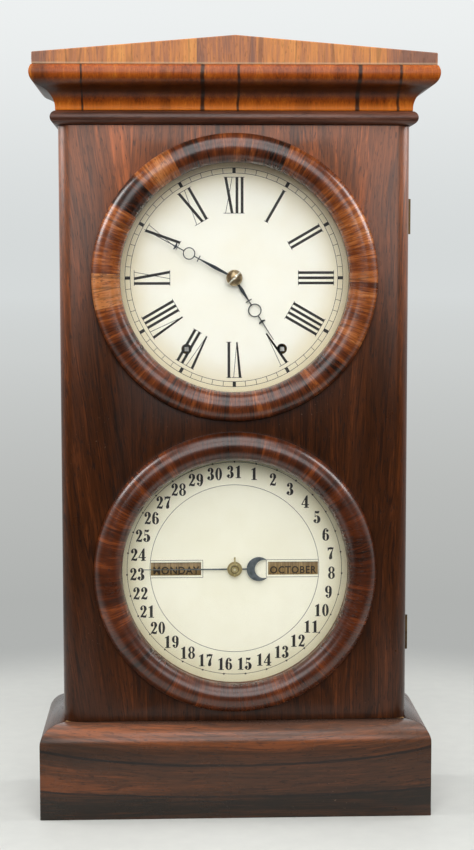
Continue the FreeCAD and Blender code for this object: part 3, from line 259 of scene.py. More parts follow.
def run_moulding(name, section, side):
    """Draws one length of moulding from a straight edge, side 0 for the front run and -1 or 1
    for the side runs. Each step moves the edge out or up and lengthens it to its mitre."""
    out, height = section[0]
    across = side * (DOOR_HALF + out)
    if side:
        length = CASE_BACK - DOOR_FRONT + out
        corner = Vector((across, CASE_BACK - length / 2, height))
        beside = Vector((length / 2, 0, 0))
    else:
        length = 2 * (DOOR_HALF + out)
        corner = Vector((0, DOOR_FRONT - out, height))
        beside = Vector((0, length / 2, 0))
    piece = start_piece(name, bpy.ops.mesh.primitive_plane_add, size=length, location=corner + beside)
    spare = corner + beside
    if side:
        pick(piece, lambda point: point.x > spare.x)
    else:
        pick(piece, lambda point: point.y > spare.y)
    bpy.ops.mesh.delete(type="VERT")
    bpy.ops.mesh.select_all(action="SELECT")
    for further, higher in section[1:] + section[:1]:
        step = further - out
        move = (side * step, 0, higher - height) if side else (0, -step, higher - height)
        bpy.ops.mesh.extrude_edges_move(TRANSFORM_OT_translate={"value": move})
        if side:
            longer = CASE_BACK - DOOR_FRONT + further
            bpy.ops.transform.resize(value=(1, longer / length, 1), center_override=(0, CASE_BACK, 0))
        else:
            longer = 2 * (DOOR_HALF + further)
            bpy.ops.transform.resize(value=(longer / length, 1, 1), center_override=(0, 0, 0))
        out, height, length = further, higher, longer
    bpy.ops.mesh.select_all(action="SELECT")
    bpy.ops.mesh.remove_doubles(threshold=WELD)
    bpy.ops.mesh.select_all(action="SELECT")
    bpy.ops.mesh.fill_holes(sides=0)
    close_piece(piece)
    soften(piece)
    return piece


def shape_gable():
    low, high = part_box("gable_board")
    end_height = 10.4 * MM
    size = high - low
    piece = start_piece("gable_front_board", bpy.ops.mesh.primitive_cube_add, size=1,
                        location=(low + high) / 2)
    bpy.ops.transform.resize(value=size, center_override=(low + high) / 2)
    bpy.ops.mesh.bisect(plane_co=(0, 0, 0), plane_no=(1, 0, 0))
    pick(piece, lambda point: point.z > low.z + end_height and abs(point.x) > size.x / 4)
    bpy.ops.transform.translate(value=(0, 0, low.z + end_height - high.z))
    close_piece(piece)
    soften(piece, 0.9 * MM, 3, 2)
    return piece


def shape_door():
    """Door board with round upright front edges and a round hole behind each bezel."""
    low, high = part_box("door_panel")
    size = high - low
    middle = (low + high) / 2
    holes = []
    for height in (TIME_Z, DATE_Z):
        bpy.ops.object.select_all(action="DESELECT")
        bpy.ops.mesh.primitive_cylinder_add(vertices=RING_SIDES, radius=DOOR_HOLE, depth=3 * size.y,
                                            location=(0, middle.y, height), rotation=FACE_FRONT)
        holes.append(bpy.context.object)
    piece = start_piece("door_board", bpy.ops.mesh.primitive_cube_add, size=1, location=middle)
    bpy.ops.transform.resize(value=size, center_override=middle)
    pick(piece, lambda point: point.y < middle.y and abs(point.x) > size.x / 4, "EDGE")
    bpy.ops.object.mode_set(mode="OBJECT")
    for part in list(piece.data.vertices) + list(piece.data.polygons):
        part.select = False
    for edge in piece.data.edges:
        ends = [piece.matrix_world @ piece.data.vertices[index].co for index in edge.vertices]
        upright = abs(ends[0].z - ends[1].z) > size.z / 2
        edge.select = upright and ends[0].y < middle.y
    bpy.ops.object.mode_set(mode="EDIT")
    bpy.ops.mesh.bevel(offset=DOOR_EDGE_ROUND, segments=12, profile=0.5)
    close_piece(piece)
    for hole in holes:
        cut = piece.modifiers.new("round_hole", "BOOLEAN")
        cut.operation = "DIFFERENCE"
        cut.solver = "EXACT"
        cut.object = hole
        bpy.ops.object.modifier_apply(modifier=cut.name)
        bpy.data.objects.remove(hole)
    soften(piece, 0.25 * MM)
    return piece


# Printing: flat strokes, rings and dots laid on a dial

def start_print(name):
    """Opens an empty flat piece that strokes, rings and dots are added to."""
    piece = start_piece(name, bpy.ops.mesh.primitive_plane_add, size=1)
    bpy.ops.mesh.delete(type="VERT")
    return piece


def end_print(piece):
    bpy.ops.object.mode_set(mode="OBJECT")
    bpy.ops.object.transform_apply(location=True, rotation=True, scale=True)
    return piece


def print_stroke(start, end, width):
    """Straight stroke between two (x, z) points, facing the front."""
    dx = end[0] - start[0]
    dz = end[1] - start[1]
    length = math.hypot(dx, dz)
    center = ((start[0] + end[0]) / 2, PRINT_Y, (start[1] + end[1]) / 2)
    bpy.ops.mesh.primitive_plane_add(size=length, location=center, rotation=FACE_FRONT)
    bpy.ops.transform.resize(value=(width / length, 1, 1), center_override=center)
    bpy.ops.transform.rotate(value=-math.atan2(dx, dz), orient_axis="Y", center_override=center)


def print_ring(height, outer, width):
    center = (0, PRINT_Y, height)
    bpy.ops.mesh.primitive_circle_add(vertices=RING_SIDES, radius=outer, location=center,
                                      rotation=FACE_FRONT)
    bpy.ops.mesh.extrude_edges_move(TRANSFORM_OT_translate={"value": (0, 0, 0)})
    shrink = (outer - width) / outer
    bpy.ops.transform.resize(value=(shrink, 1, shrink), center_override=center)


def print_dot(x, z, radius):
    bpy.ops.mesh.primitive_circle_add(vertices=12, radius=radius, fill_type="NGON",
                                      location=(x, PRINT_Y, z), rotation=FACE_FRONT)


def on_dial(height, angle, across, radius):
    """The (x, z) place at a clockwise angle from 12, beside and out along that direction."""
    side = math.cos(angle)
    up = math.sin(angle)
    return (across * side + radius * up, height - across * up + radius * side)


def print_minute_track():
    piece = start_print("time_dial_minute_track")
    print_ring(TIME_Z, MINUTE_RING_OUTER, FINE_LINE)
    print_ring(TIME_Z, MINUTE_RING_INNER, FINE_LINE)
    for minute in range(60):
        angle = minute * 6 * DEGREE
        inner = on_dial(TIME_Z, angle, 0, MINUTE_RING_INNER - FINE_LINE)
        outer = on_dial(TIME_Z, angle, 0, MINUTE_RING_OUTER)
        print_stroke(inner, outer, FINE_LINE if minute % 5 else MINUTE_BLOCK)
    return end_print(piece)


def numeral_strokes(letters):
    """Strokes of a Roman numeral about its middle: across and foot-to-head shares, and width."""
    hair = 0.2
    advance = {"I": 1.0, "V": 2.1, "X": 2.1}
    width = sum(advance[letter] for letter in letters)
    left = -width / 2
    for letter in letters:
        middle = left + advance[letter] / 2
        reach = advance[letter] / 2 - 0.42
        if letter == "I":
            yield middle, 0, middle, 1, 1
        elif letter == "V":
            yield middle, 0, middle - reach - 0.11, 1, 0.58
            yield middle, 0, middle - reach + 0.11, 1, 0.58
            yield middle, 0, middle + reach, 1, hair
        else:
            yield middle + reach, 0, middle - reach, 1, 1
            yield middle - reach, 0, middle + reach, 1, hair
        serif = advance[letter] / 2 - 0.03
        if letter != "V":
            yield middle - serif, 0, middle + serif, 0, hair
        yield middle - serif, 1, middle + serif, 1, hair
        left += advance[letter]


def print_hour_numerals():
    piece = start_print("time_dial_hour_numerals")
    tall = NUMERAL_HEAD - NUMERAL_FOOT
    numerals = ("XII", "I", "II", "III", "IIII", "V", "VI", "VII", "VIII", "IX", "X", "XI")
    for hour, letters in enumerate(numerals):
        angle = hour * 30 * DEGREE
        for x0, r0, x1, r1, weight in numeral_strokes(letters):
            start = on_dial(TIME_Z, angle, x0 * NUMERAL_PITCH, NUMERAL_FOOT + r0 * tall)
            end = on_dial(TIME_Z, angle, x1 * NUMERAL_PITCH, NUMERAL_FOOT + r1 * tall)
            print_stroke(start, end, weight * NUMERAL_STROKE)
    return end_print(piece)


def print_date_rings():
    piece = start_print("calendar_dial_rings_and_dots")
    print_ring(DATE_Z, DATE_RING_OUTER, FINE_LINE)
    print_ring(DATE_Z, DATE_RING_INNER, FINE_LINE)
    for day in range(31):
        x, z = on_dial(DATE_Z, 2 * math.pi * day / 31, 0, DATE_RING_OUTER)
        print_dot(x, z, DATE_DOT)
    return end_print(piece)


def print_window_frames():
    piece = start_print("calendar_dial_window_lines")
    near = 28.6 * MM
    half = 7.9 * MM
    far = math.sqrt(DATE_RING_INNER ** 2 - half ** 2)
    for side in (-1, 1):
        for edge in (-half, half):
            print_stroke((side * near, DATE_Z + edge), (side * far, DATE_Z + edge), FINE_LINE)
        print_stroke((side * near, DATE_Z - half), (side * near, DATE_Z + half), FINE_LINE)
    return end_print(piece)


# Fat numerals of the calendar dial, drawn in a box 5.8 wide and 11.2 high

def flat_shape(name, *outlines):
    """Flat curve filled between closed outlines, made a mesh that faces the front."""
    curve = bpy.data.curves.new(name, "CURVE")
    curve.dimensions = "2D"
    curve.fill_mode = "BOTH"
    for points in outlines:
        spline = curve.splines.new("POLY")
        spline.points.add(len(points) - 1)
        for target, (x, y) in zip(spline.points, points):
            target.co = (x, y, 0, 1)
        spline.use_cyclic_u = True
    shape = bpy.data.objects.new(name, curve)
    bpy.context.scene.collection.objects.link(shape)
    bpy.ops.object.select_all(action="DESELECT")
    shape.select_set(True)
    bpy.context.view_layer.objects.active = shape
    bpy.ops.object.convert(target="MESH")
    return bpy.context.object


def oval(center, across, up, first=0, last=360, steps=28):
    points = []
    for step in range(steps + (last - first != 360)):
        turn = (first + (last - first) * step / steps) * DEGREE
        points.append((center[0] + across * math.cos(turn), center[1] + up * math.sin(turn)))
    return points


def swelling(center, across, up, heavy, fine, first, last, shift=0.0):
    """Part of an oval stroke, heavy at its sides and fine at top and bottom."""
    outside = oval(center, across, up, first, last)
    inside = oval((center[0] + shift, center[1]), across - heavy, up - fine, first, last)
    return outside + inside[::-1]


def digit_outlines(digit):
    """Closed outlines of one numeral, each group filled on its own."""
    ball = 1.15
    if digit == 0:
        return [(oval((2.9, 5.6), 3.0, 5.7), oval((2.9, 5.6), 0.75, 5.1))]
    if digit == 1:
        return [([(1.7, 0.3), (4.2, 0.3), (4.2, 11.3), (3.4, 11.3), (1.7, 10.1)],),
                ([(0.5, 8.7), (1.8, 9.3), (1.9, 10.4), (0.5, 9.5)],),
                ([(0.5, 0), (5.4, 0), (5.4, 0.65), (0.5, 0.65)],)]
    if digit == 2:
        return [(swelling((2.9, 8.2), 2.9, 3.1, 2.2, 0.65, 180, -25, -0.3),),
                (oval((1.25, 8.0), ball, ball),),
                ([(5.5, 7.2), (3.6, 7.6), (2.6, 5.2), (0.2, 1.2), (0.2, 0), (1.0, 0.8), (3.6, 3.8)],),
                ([(0.2, 0), (1.4, 0.5), (3.4, 0), (5.2, 0.1), (5.8, 3.1), (5.3, 3.1), (4.6, 2.0),
                  (3.2, 2.1), (1.6, 2.4), (0.3, 1.2)],)]
    if digit == 3:
        return [(swelling((2.6, 8.5), 2.7, 2.8, 2.1, 0.65, 165, -75, -0.25),),
                (oval((1.15, 8.8), ball, ball),),
                (swelling((2.5, 3.1), 3.3, 3.2, 2.5, 0.65, 75, -165, -0.3),),
                (oval((1.15, 2.4), 1.2, 1.2),),
                ([(2.0, 5.5), (3.6, 5.5), (3.6, 6.1), (2.0, 6.1)],)]
    if digit == 4:
        return [([(2.8, 0.3), (5.2, 0.3), (5.2, 11.3), (4.3, 11.3), (2.8, 8.2)],),
                ([(0.3, 2.8), (4.6, 11.0), (4.0, 11.2), (-0.4, 3.3), (-0.4, 2.8)],),
                ([(-0.4, 2.6), (6.3, 2.6), (6.3, 3.4), (-0.4, 3.4)],),
                ([(1.8, 0), (6.2, 0), (6.2, 0.65), (1.8, 0.65)],)]
    if digit == 5:
        return [([(0.9, 11.2), (2.6, 10.9), (4.8, 11.2), (5.1, 11.2), (4.3, 8.9), (2.6, 8.8),
                  (1.1, 9.5)],),
                ([(0.8, 11.2), (1.3, 11.2), (1.3, 5.7), (0.8, 5.3)],),
                (swelling((2.6, 3.5), 3.3, 3.6, 2.5, 0.65, 130, -165, -0.3),),
                (oval((1.15, 2.5), 1.2, 1.2),)]
    if digit == 7:
        return [([(0.3, 11.2), (0.3, 7.8), (0.7, 7.8), (1.4, 9.2), (3.0, 9.0), (4.9, 9.4),
                  (5.7, 11.2), (4.9, 10.9), (3.0, 11.3), (1.0, 10.8)],),
                ([(5.8, 11.2), (4.7, 9.6), (2.3, 5.0), (1.4, 1.6), (1.8, 0.2), (3.1, 0), (4.2, 0.6),
                  (4.5, 2.0), (4.2, 4.0), (4.5, 6.6)],)]
    if digit == 8:
        return [(oval((2.9, 8.4), 2.8, 2.9), oval((2.9, 8.4), 0.9, 2.2)),
                (oval((2.9, 3.1), 3.1, 3.2), oval((2.9, 3.1), 0.95, 2.5))]
    lower = [(oval((2.95, 3.4), 3.05, 3.5), oval((2.95, 3.4), 0.8, 2.9)),
             (swelling((2.95, 5.6), 3.05, 5.7, 2.25, 0.65, 62, 210, 0.1),),
             (oval((4.3, 9.1), ball, ball),)]
    if digit == 9:
        return [tuple([(5.8 - x, 11.2 - y) for x, y in points] for points in outlines)
                for outlines in lower]
    return lower


def draw_digits():
    digits = []
    for digit in range(10):
        parts = []
        for order, outlines in enumerate(digit_outlines(digit)):
            part = flat_shape(f"digit_{digit}_{order}", *outlines)
            part.location.z = order * 0.02
            parts.append(part)
        for part in parts:
            part.select_set(True)
        bpy.context.view_layer.objects.active = parts[0]
        bpy.ops.object.transform_apply(location=True)
        digits.append(joined(f"digit_{digit}", parts))
    return digits


def print_date_numerals():
    digits = draw_digits()
    box_width = 5.8
    box_height = 11.2
    spacing = 7.0
    scale = DATE_NUMERAL_HEIGHT / box_height
    copies = []
    for day in range(1, 32):
        x, z = on_dial(DATE_Z, 2 * math.pi * day / 31, 0, DATE_NUMERAL_RADIUS)
        figures = str(day)
        start = x - ((len(figures) - 1) * spacing + box_width) * scale / 2
        for order, figure in enumerate(figures):
            copy = digits[int(figure)].copy()
            copy.data = copy.data.copy()
            bpy.context.scene.collection.objects.link(copy)
            copy.rotation_euler = FACE_FRONT
            copy.scale = (scale, scale, scale)
            copy.location = (start + order * spacing * scale, PRINT_Y, z - box_height * scale / 2)
            copies.append(copy)
    for digit in digits:
        bpy.data.objects.remove(digit)
    piece = joined("calendar_dial_date_numerals", copies)
    bpy.ops.object.transform_apply(location=True, rotation=True, scale=True)
    return piece


# Words on the two rollers

def roller_words(name, node, words, letter_height):
    """Lays each word on its own strip of the drum, the first one facing the window."""
    low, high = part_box(node)
    radius = (high.z - low.z) / 2 + 0.04 * MM
    center = (low + high) / 2
    window = 45.2 * MM
    pieces = []
    for order, word in enumerate(words):
        bpy.ops.object.select_all(action="DESELECT")
        bpy.ops.object.text_add()
        text = bpy.context.object
        text.data.body = word
        text.data.align_x = "CENTER"
        text.data.size = letter_height / 0.7
        text.data.offset = 0.03 * letter_height
        text.data.space_character = 1.1
        text.data.resolution_u = 3
        bpy.ops.object.convert(target="MESH")
        bpy.ops.object.mode_set(mode="EDIT")
        bpy.ops.mesh.select_all(action="SELECT")
        for cut in range(1, 6):
            height = letter_height * cut / 6
            bpy.ops.mesh.select_all(action="SELECT")
            bpy.ops.mesh.bisect(plane_co=(0, height, 0), plane_no=(0, 1, 0))
        bpy.ops.object.mode_set(mode="OBJECT")
        word_piece = bpy.context.object
        wide = max(vertex.co.x for vertex in word_piece.data.vertices)
        squeeze = min(1.1, 0.47 * window / wide)
        for vertex in word_piece.data.vertices:
            turn = (vertex.co.y - letter_height / 2 - WORD_DROP) / radius + 2 * math.pi * order / len(words)
            vertex.co = (center.x + vertex.co.x * squeeze,
                         center.y - radius * math.cos(turn), center.z + radius * math.sin(turn))
        pieces.append(word_piece)
    return joined(name, pieces)


# Placing shader nodes

def place(tree, kind, inputs=None, **settings):
    """Adds a node, sets its properties and joins or sets its inputs, by name or number."""
    node = tree.nodes.new("ShaderNode" + kind)
    for name, value in settings.items():
        setattr(node, name, value)
    for key, value in (inputs or {}).items():
        give(tree, node.inputs[key], value)
    return node


def give(tree, socket, value):
    if isinstance(value, bpy.types.NodeSocket):
        tree.links.new(value, socket)
    else:
        socket.default_value = value


def sum_of(tree, operation, *values):
    """Result of one arithmetic node."""
    return place(tree, "Math", dict(enumerate(values)), operation=operation).outputs[0]


def moved(tree, operation, vector, by):
    return place(tree, "VectorMath", {0: vector, 1: by}, operation=operation).outputs[0]


def fade(tree, value, start, end, low=0.0, high=1.0):
    """Runs smoothly from low at start to high at end."""
    node = place(tree, "MapRange", {"Value": value, "From Min": start, "From Max": end,
                                    "To Min": low, "To Max": high}, interpolation_type="SMOOTHSTEP")
    return node.outputs["Result"]


def noise(tree, vector, scale, detail=2.0, roughness=0.5):
    node = place(tree, "TexNoise", {"Vector": vector, "Scale": scale, "Detail": detail,
                                    "Roughness": roughness})
    return node.outputs["Fac"]


def tinted(tree, factor, first, second, blend="MIX"):
    node = place(tree, "Mix", {0: factor, 6: first, 7: second}, data_type="RGBA", blend_type=blend)
    return node.outputs[2]


def tones(tree, value, *stops):
    """Colour run through stops, each a position and a colour."""
    node = place(tree, "ValToRGB", {"Fac": value})
    run = node.color_ramp.elements
    run.remove(run[1])
    run[0].position, run[0].color = stops[0]
    for position, colour in stops[1:]:
        run.new(position).color = colour
    return node.outputs["Color"]


def shade(red, green, blue):
    """Linear colour of a paint named by its 0 to 255 values."""
    linear = []
    for level in (red, green, blue):
        share = level / 255
        linear.append(share / 12.92 if share <= 0.04045 else ((share + 0.055) / 1.055) ** 2.4)
    return (*linear, 1.0)


def new_group(name, inputs, outputs):
    """Node group with named inputs, each with its starting value, and float outputs."""
    tree = bpy.data.node_groups.new(name, "ShaderNodeTree")
    for socket, start in inputs.items():
        kind = "NodeSocketVector" if isinstance(start, tuple) else "NodeSocketFloat"
        made = tree.interface.new_socket(name=socket, in_out="INPUT", socket_type=kind)
        made.default_value = start
    for socket, kind in outputs.items():
        tree.interface.new_socket(name=socket, in_out="OUTPUT", socket_type="NodeSocket" + kind)
    given = tree.nodes.new("NodeGroupInput").outputs
    result = tree.nodes.new("NodeGroupOutput").inputs
    return tree, given, result


def apply_group(tree, group, **inputs):
    node = tree.nodes.new("ShaderNodeGroup")
    node.node_tree = group
    for name, value in inputs.items():
        give(tree, node.inputs[name], value)
    return node.outputs


def make_rosewood_figure():
    """Grain along Z: broad bands, fine lines, dark contour lines and short open pores."""
    tree, given, result = new_group(
        "rosewood_figure",
        {"Vector": (0.0, 0.0, 0.0), "Bands": 60.0, "Stretch": 0.05, "Waviness": 0.01, "Fineness": 0.5},
        {"Figure": "Float", "Ink": "Float", "Pores": "Float", "Relief": "Float"})
    slow = moved(tree, "MULTIPLY", given["Vector"], (7.0, 7.0, 5.0))
    sway = place(tree, "TexNoise", {"Vector": slow, "Scale": 1.0, "Detail": 2.0}).outputs["Color"]
    sway = moved(tree, "SUBTRACT", sway, (0.5, 0.5, 0.5))
    sway = place(tree, "VectorMath", {0: sway, "Scale": given["Waviness"]}, operation="SCALE").outputs[0]
    bent = place(tree, "SeparateXYZ", {0: moved(tree, "ADD", given["Vector"], sway)}).outputs
    drawn = place(tree, "CombineXYZ", {0: bent[0], 1: bent[1],
                                       2: sum_of(tree, "MULTIPLY", bent[2], given["Stretch"])}).outputs[0]
    bands = noise(tree, drawn, given["Bands"], 3.0, 0.55)
    stripes = noise(tree, drawn, sum_of(tree, "MULTIPLY", given["Bands"], 5.5), 3.0, 0.6)
    fibres = noise(tree, drawn, sum_of(tree, "MULTIPLY", given["Bands"], 22.0), 2.0, 0.6)
    fine = sum_of(tree, "MULTIPLY_ADD", stripes, 0.62, sum_of(tree, "MULTIPLY", fibres, 0.38))
    mixed = place(tree, "Mix", {0: given["Fineness"], 2: bands, 3: fine}).outputs[0]
    tree.links.new(fade(tree, mixed, 0.26, 0.74), result["Figure"])
    rings = sum_of(tree, "PINGPONG", sum_of(tree, "MULTIPLY", bands, 8.0), 0.5)
    contour = fade(tree, rings, 0.02, 0.12, 1.0, 0.0)
    broken = fade(tree, stripes, 0.42, 0.56)
    tree.links.new(sum_of(tree, "MULTIPLY", contour, broken), result["Ink"])
    short = moved(tree, "MULTIPLY", drawn, (1.0, 1.0, 3.0))
    holes = noise(tree, short, sum_of(tree, "MULTIPLY", given["Bands"], 24.0), 1.0)
    pores = fade(tree, holes, 0.60, 0.70)
    tree.links.new(pores, result["Pores"])
    tree.links.new(sum_of(tree, "SUBTRACT", fibres, pores), result["Relief"])
    return tree


def make_around_dial():
    """Unrolls a ring about its centre: the way round becomes X and the way out becomes Z."""
    tree, given, result = new_group("around_dial", {"Vector": (0.0, 0.0, 0.0), "Centre": (0.0, 0.0, 0.0)},
                                    {"Unrolled": "Vector"})
    radius = 113.0 * MM
    flat = place(tree, "SeparateXYZ", {0: moved(tree, "SUBTRACT", given["Vector"], given["Centre"])}).outputs
    turn = sum_of(tree, "ARCTAN2", flat[0], flat[2])
    squares = sum_of(tree, "MULTIPLY_ADD", flat[0], flat[0], sum_of(tree, "MULTIPLY", flat[2], flat[2]))
    unrolled = place(tree, "CombineXYZ", {0: sum_of(tree, "MULTIPLY", turn, radius), 1: 0.0,
                                          2: sum_of(tree, "SQRT", squares)})
    tree.links.new(unrolled.outputs[0], result["Unrolled"])
    return tree


def make_dark_streak():
    """One dark streak along the grain at a place across it."""
    tree, given, result = new_group(
        "dark_streak", {"Vector": (0.0, 0.0, 0.0), "Place": 0.0, "Width": 0.002, "Wander": 0.002},
        {"Mask": "Float"})
    part = place(tree, "SeparateXYZ", {0: given["Vector"]}).outputs
    sway = sum_of(tree, "SUBTRACT", noise(tree, given["Vector"], 45.0, 3.0), 0.5)
    line = sum_of(tree, "MULTIPLY_ADD", sway, given["Wander"], given["Place"])
    apart = sum_of(tree, "ABSOLUTE", sum_of(tree, "SUBTRACT", part[0], line))
    edge = sum_of(tree, "DIVIDE", apart, given["Width"])
    tree.links.new(fade(tree, edge, 0.35, 1.0, 1.0, 0.0), result["Mask"])
    return tree


def make_old_polish():
    """Uneven gloss of old shellac, and thin pale scuffs."""
    tree, given, result = new_group("old_polish", {"Vector": (0.0, 0.0, 0.0), "Scale": 18.0},
                                    {"Cloud": "Float", "Scuffs": "Float"})
    cloud = noise(tree, given["Vector"], given["Scale"], 4.0, 0.6)
    tree.links.new(cloud, result["Cloud"])
    fine = noise(tree, given["Vector"], sum_of(tree, "MULTIPLY", given["Scale"], 22.0), 2.0)
    patch = fade(tree, cloud, 0.55, 0.75)
    scuffs = fade(tree, fine, 0.68, 0.76)
    tree.links.new(sum_of(tree, "MULTIPLY", scuffs, patch), result["Scuffs"])
    return tree


def make_tarnish():
    """Clouds of tarnish and fine lines left by brushing."""
    tree, given, result = new_group(
        "tarnish", {"Vector": (0.0, 0.0, 0.0), "Scale": 55.0, "Brushing": (220.0, 220.0, 12.0)},
        {"Cloud": "Float", "Lines": "Float"})
    cloud = fade(tree, noise(tree, given["Vector"], given["Scale"], 4.0, 0.65), 0.36, 0.66)
    tree.links.new(cloud, result["Cloud"])
    drawn = moved(tree, "MULTIPLY", given["Vector"], given["Brushing"])
    tree.links.new(noise(tree, drawn, 6.0, 2.0), result["Lines"])
    return tree


def make_dial_age():
    """Yellowing towards the rim of a dial, mottling and specks."""
    tree, given, result = new_group("dial_age", {"Vector": (0.0, 0.0, 0.0), "Centre height": 0.0},
                                    {"Rim": "Float", "Mottle": "Float", "Specks": "Float"})
    part = place(tree, "SeparateXYZ", {0: given["Vector"]}).outputs
    rise = sum_of(tree, "SUBTRACT", part[2], given["Centre height"])
    squares = sum_of(tree, "MULTIPLY_ADD", part[0], part[0], sum_of(tree, "MULTIPLY", rise, rise))
    tree.links.new(fade(tree, sum_of(tree, "SQRT", squares), 70.0 * MM, 104.0 * MM), result["Rim"])
    mottle = noise(tree, given["Vector"], 24.0, 4.0, 0.6)
    tree.links.new(fade(tree, mottle, 0.35, 0.75), result["Mottle"])
    tree.links.new(fade(tree, noise(tree, given["Vector"], 520.0, 2.0), 0.72, 0.80), result["Specks"])
    return tree


def make_ink_wear():
    tree, given, result = new_group("ink_wear", {"Vector": (0.0, 0.0, 0.0), "Scale": 700.0},
                                    {"Patches": "Float"})
    patchy = noise(tree, given["Vector"], given["Scale"], 3.0)
    tree.links.new(fade(tree, patchy, 0.3, 0.8), result["Patches"])
    return tree


rosewood_figure = make_rosewood_figure()
around_dial = make_around_dial()
dark_streak = make_dark_streak()
old_polish = make_old_polish()
tarnish = make_tarnish()
dial_age = make_dial_age()
ink_wear = make_ink_wear()


def start_material(name):
    """Empty material with one Principled shader, and the object's own coordinates."""
    material = bpy.data.materials.new(name)
    material.use_nodes = True
    tree = material.node_tree
    tree.nodes.clear()
    end = tree.nodes.new("ShaderNodeOutputMaterial")
    shader = place(tree, "BsdfPrincipled")
    tree.links.new(shader.outputs[0], end.inputs["Surface"])
    spot = place(tree, "TexCoord").outputs["Object"]
    return material, tree, shader, spot


def bump(tree, shader, height, distance, strength=1.0):
    node = place(tree, "Bump", {"Strength": strength, "Distance": distance, "Height": height})
    tree.links.new(node.outputs[0], shader.inputs["Normal"])


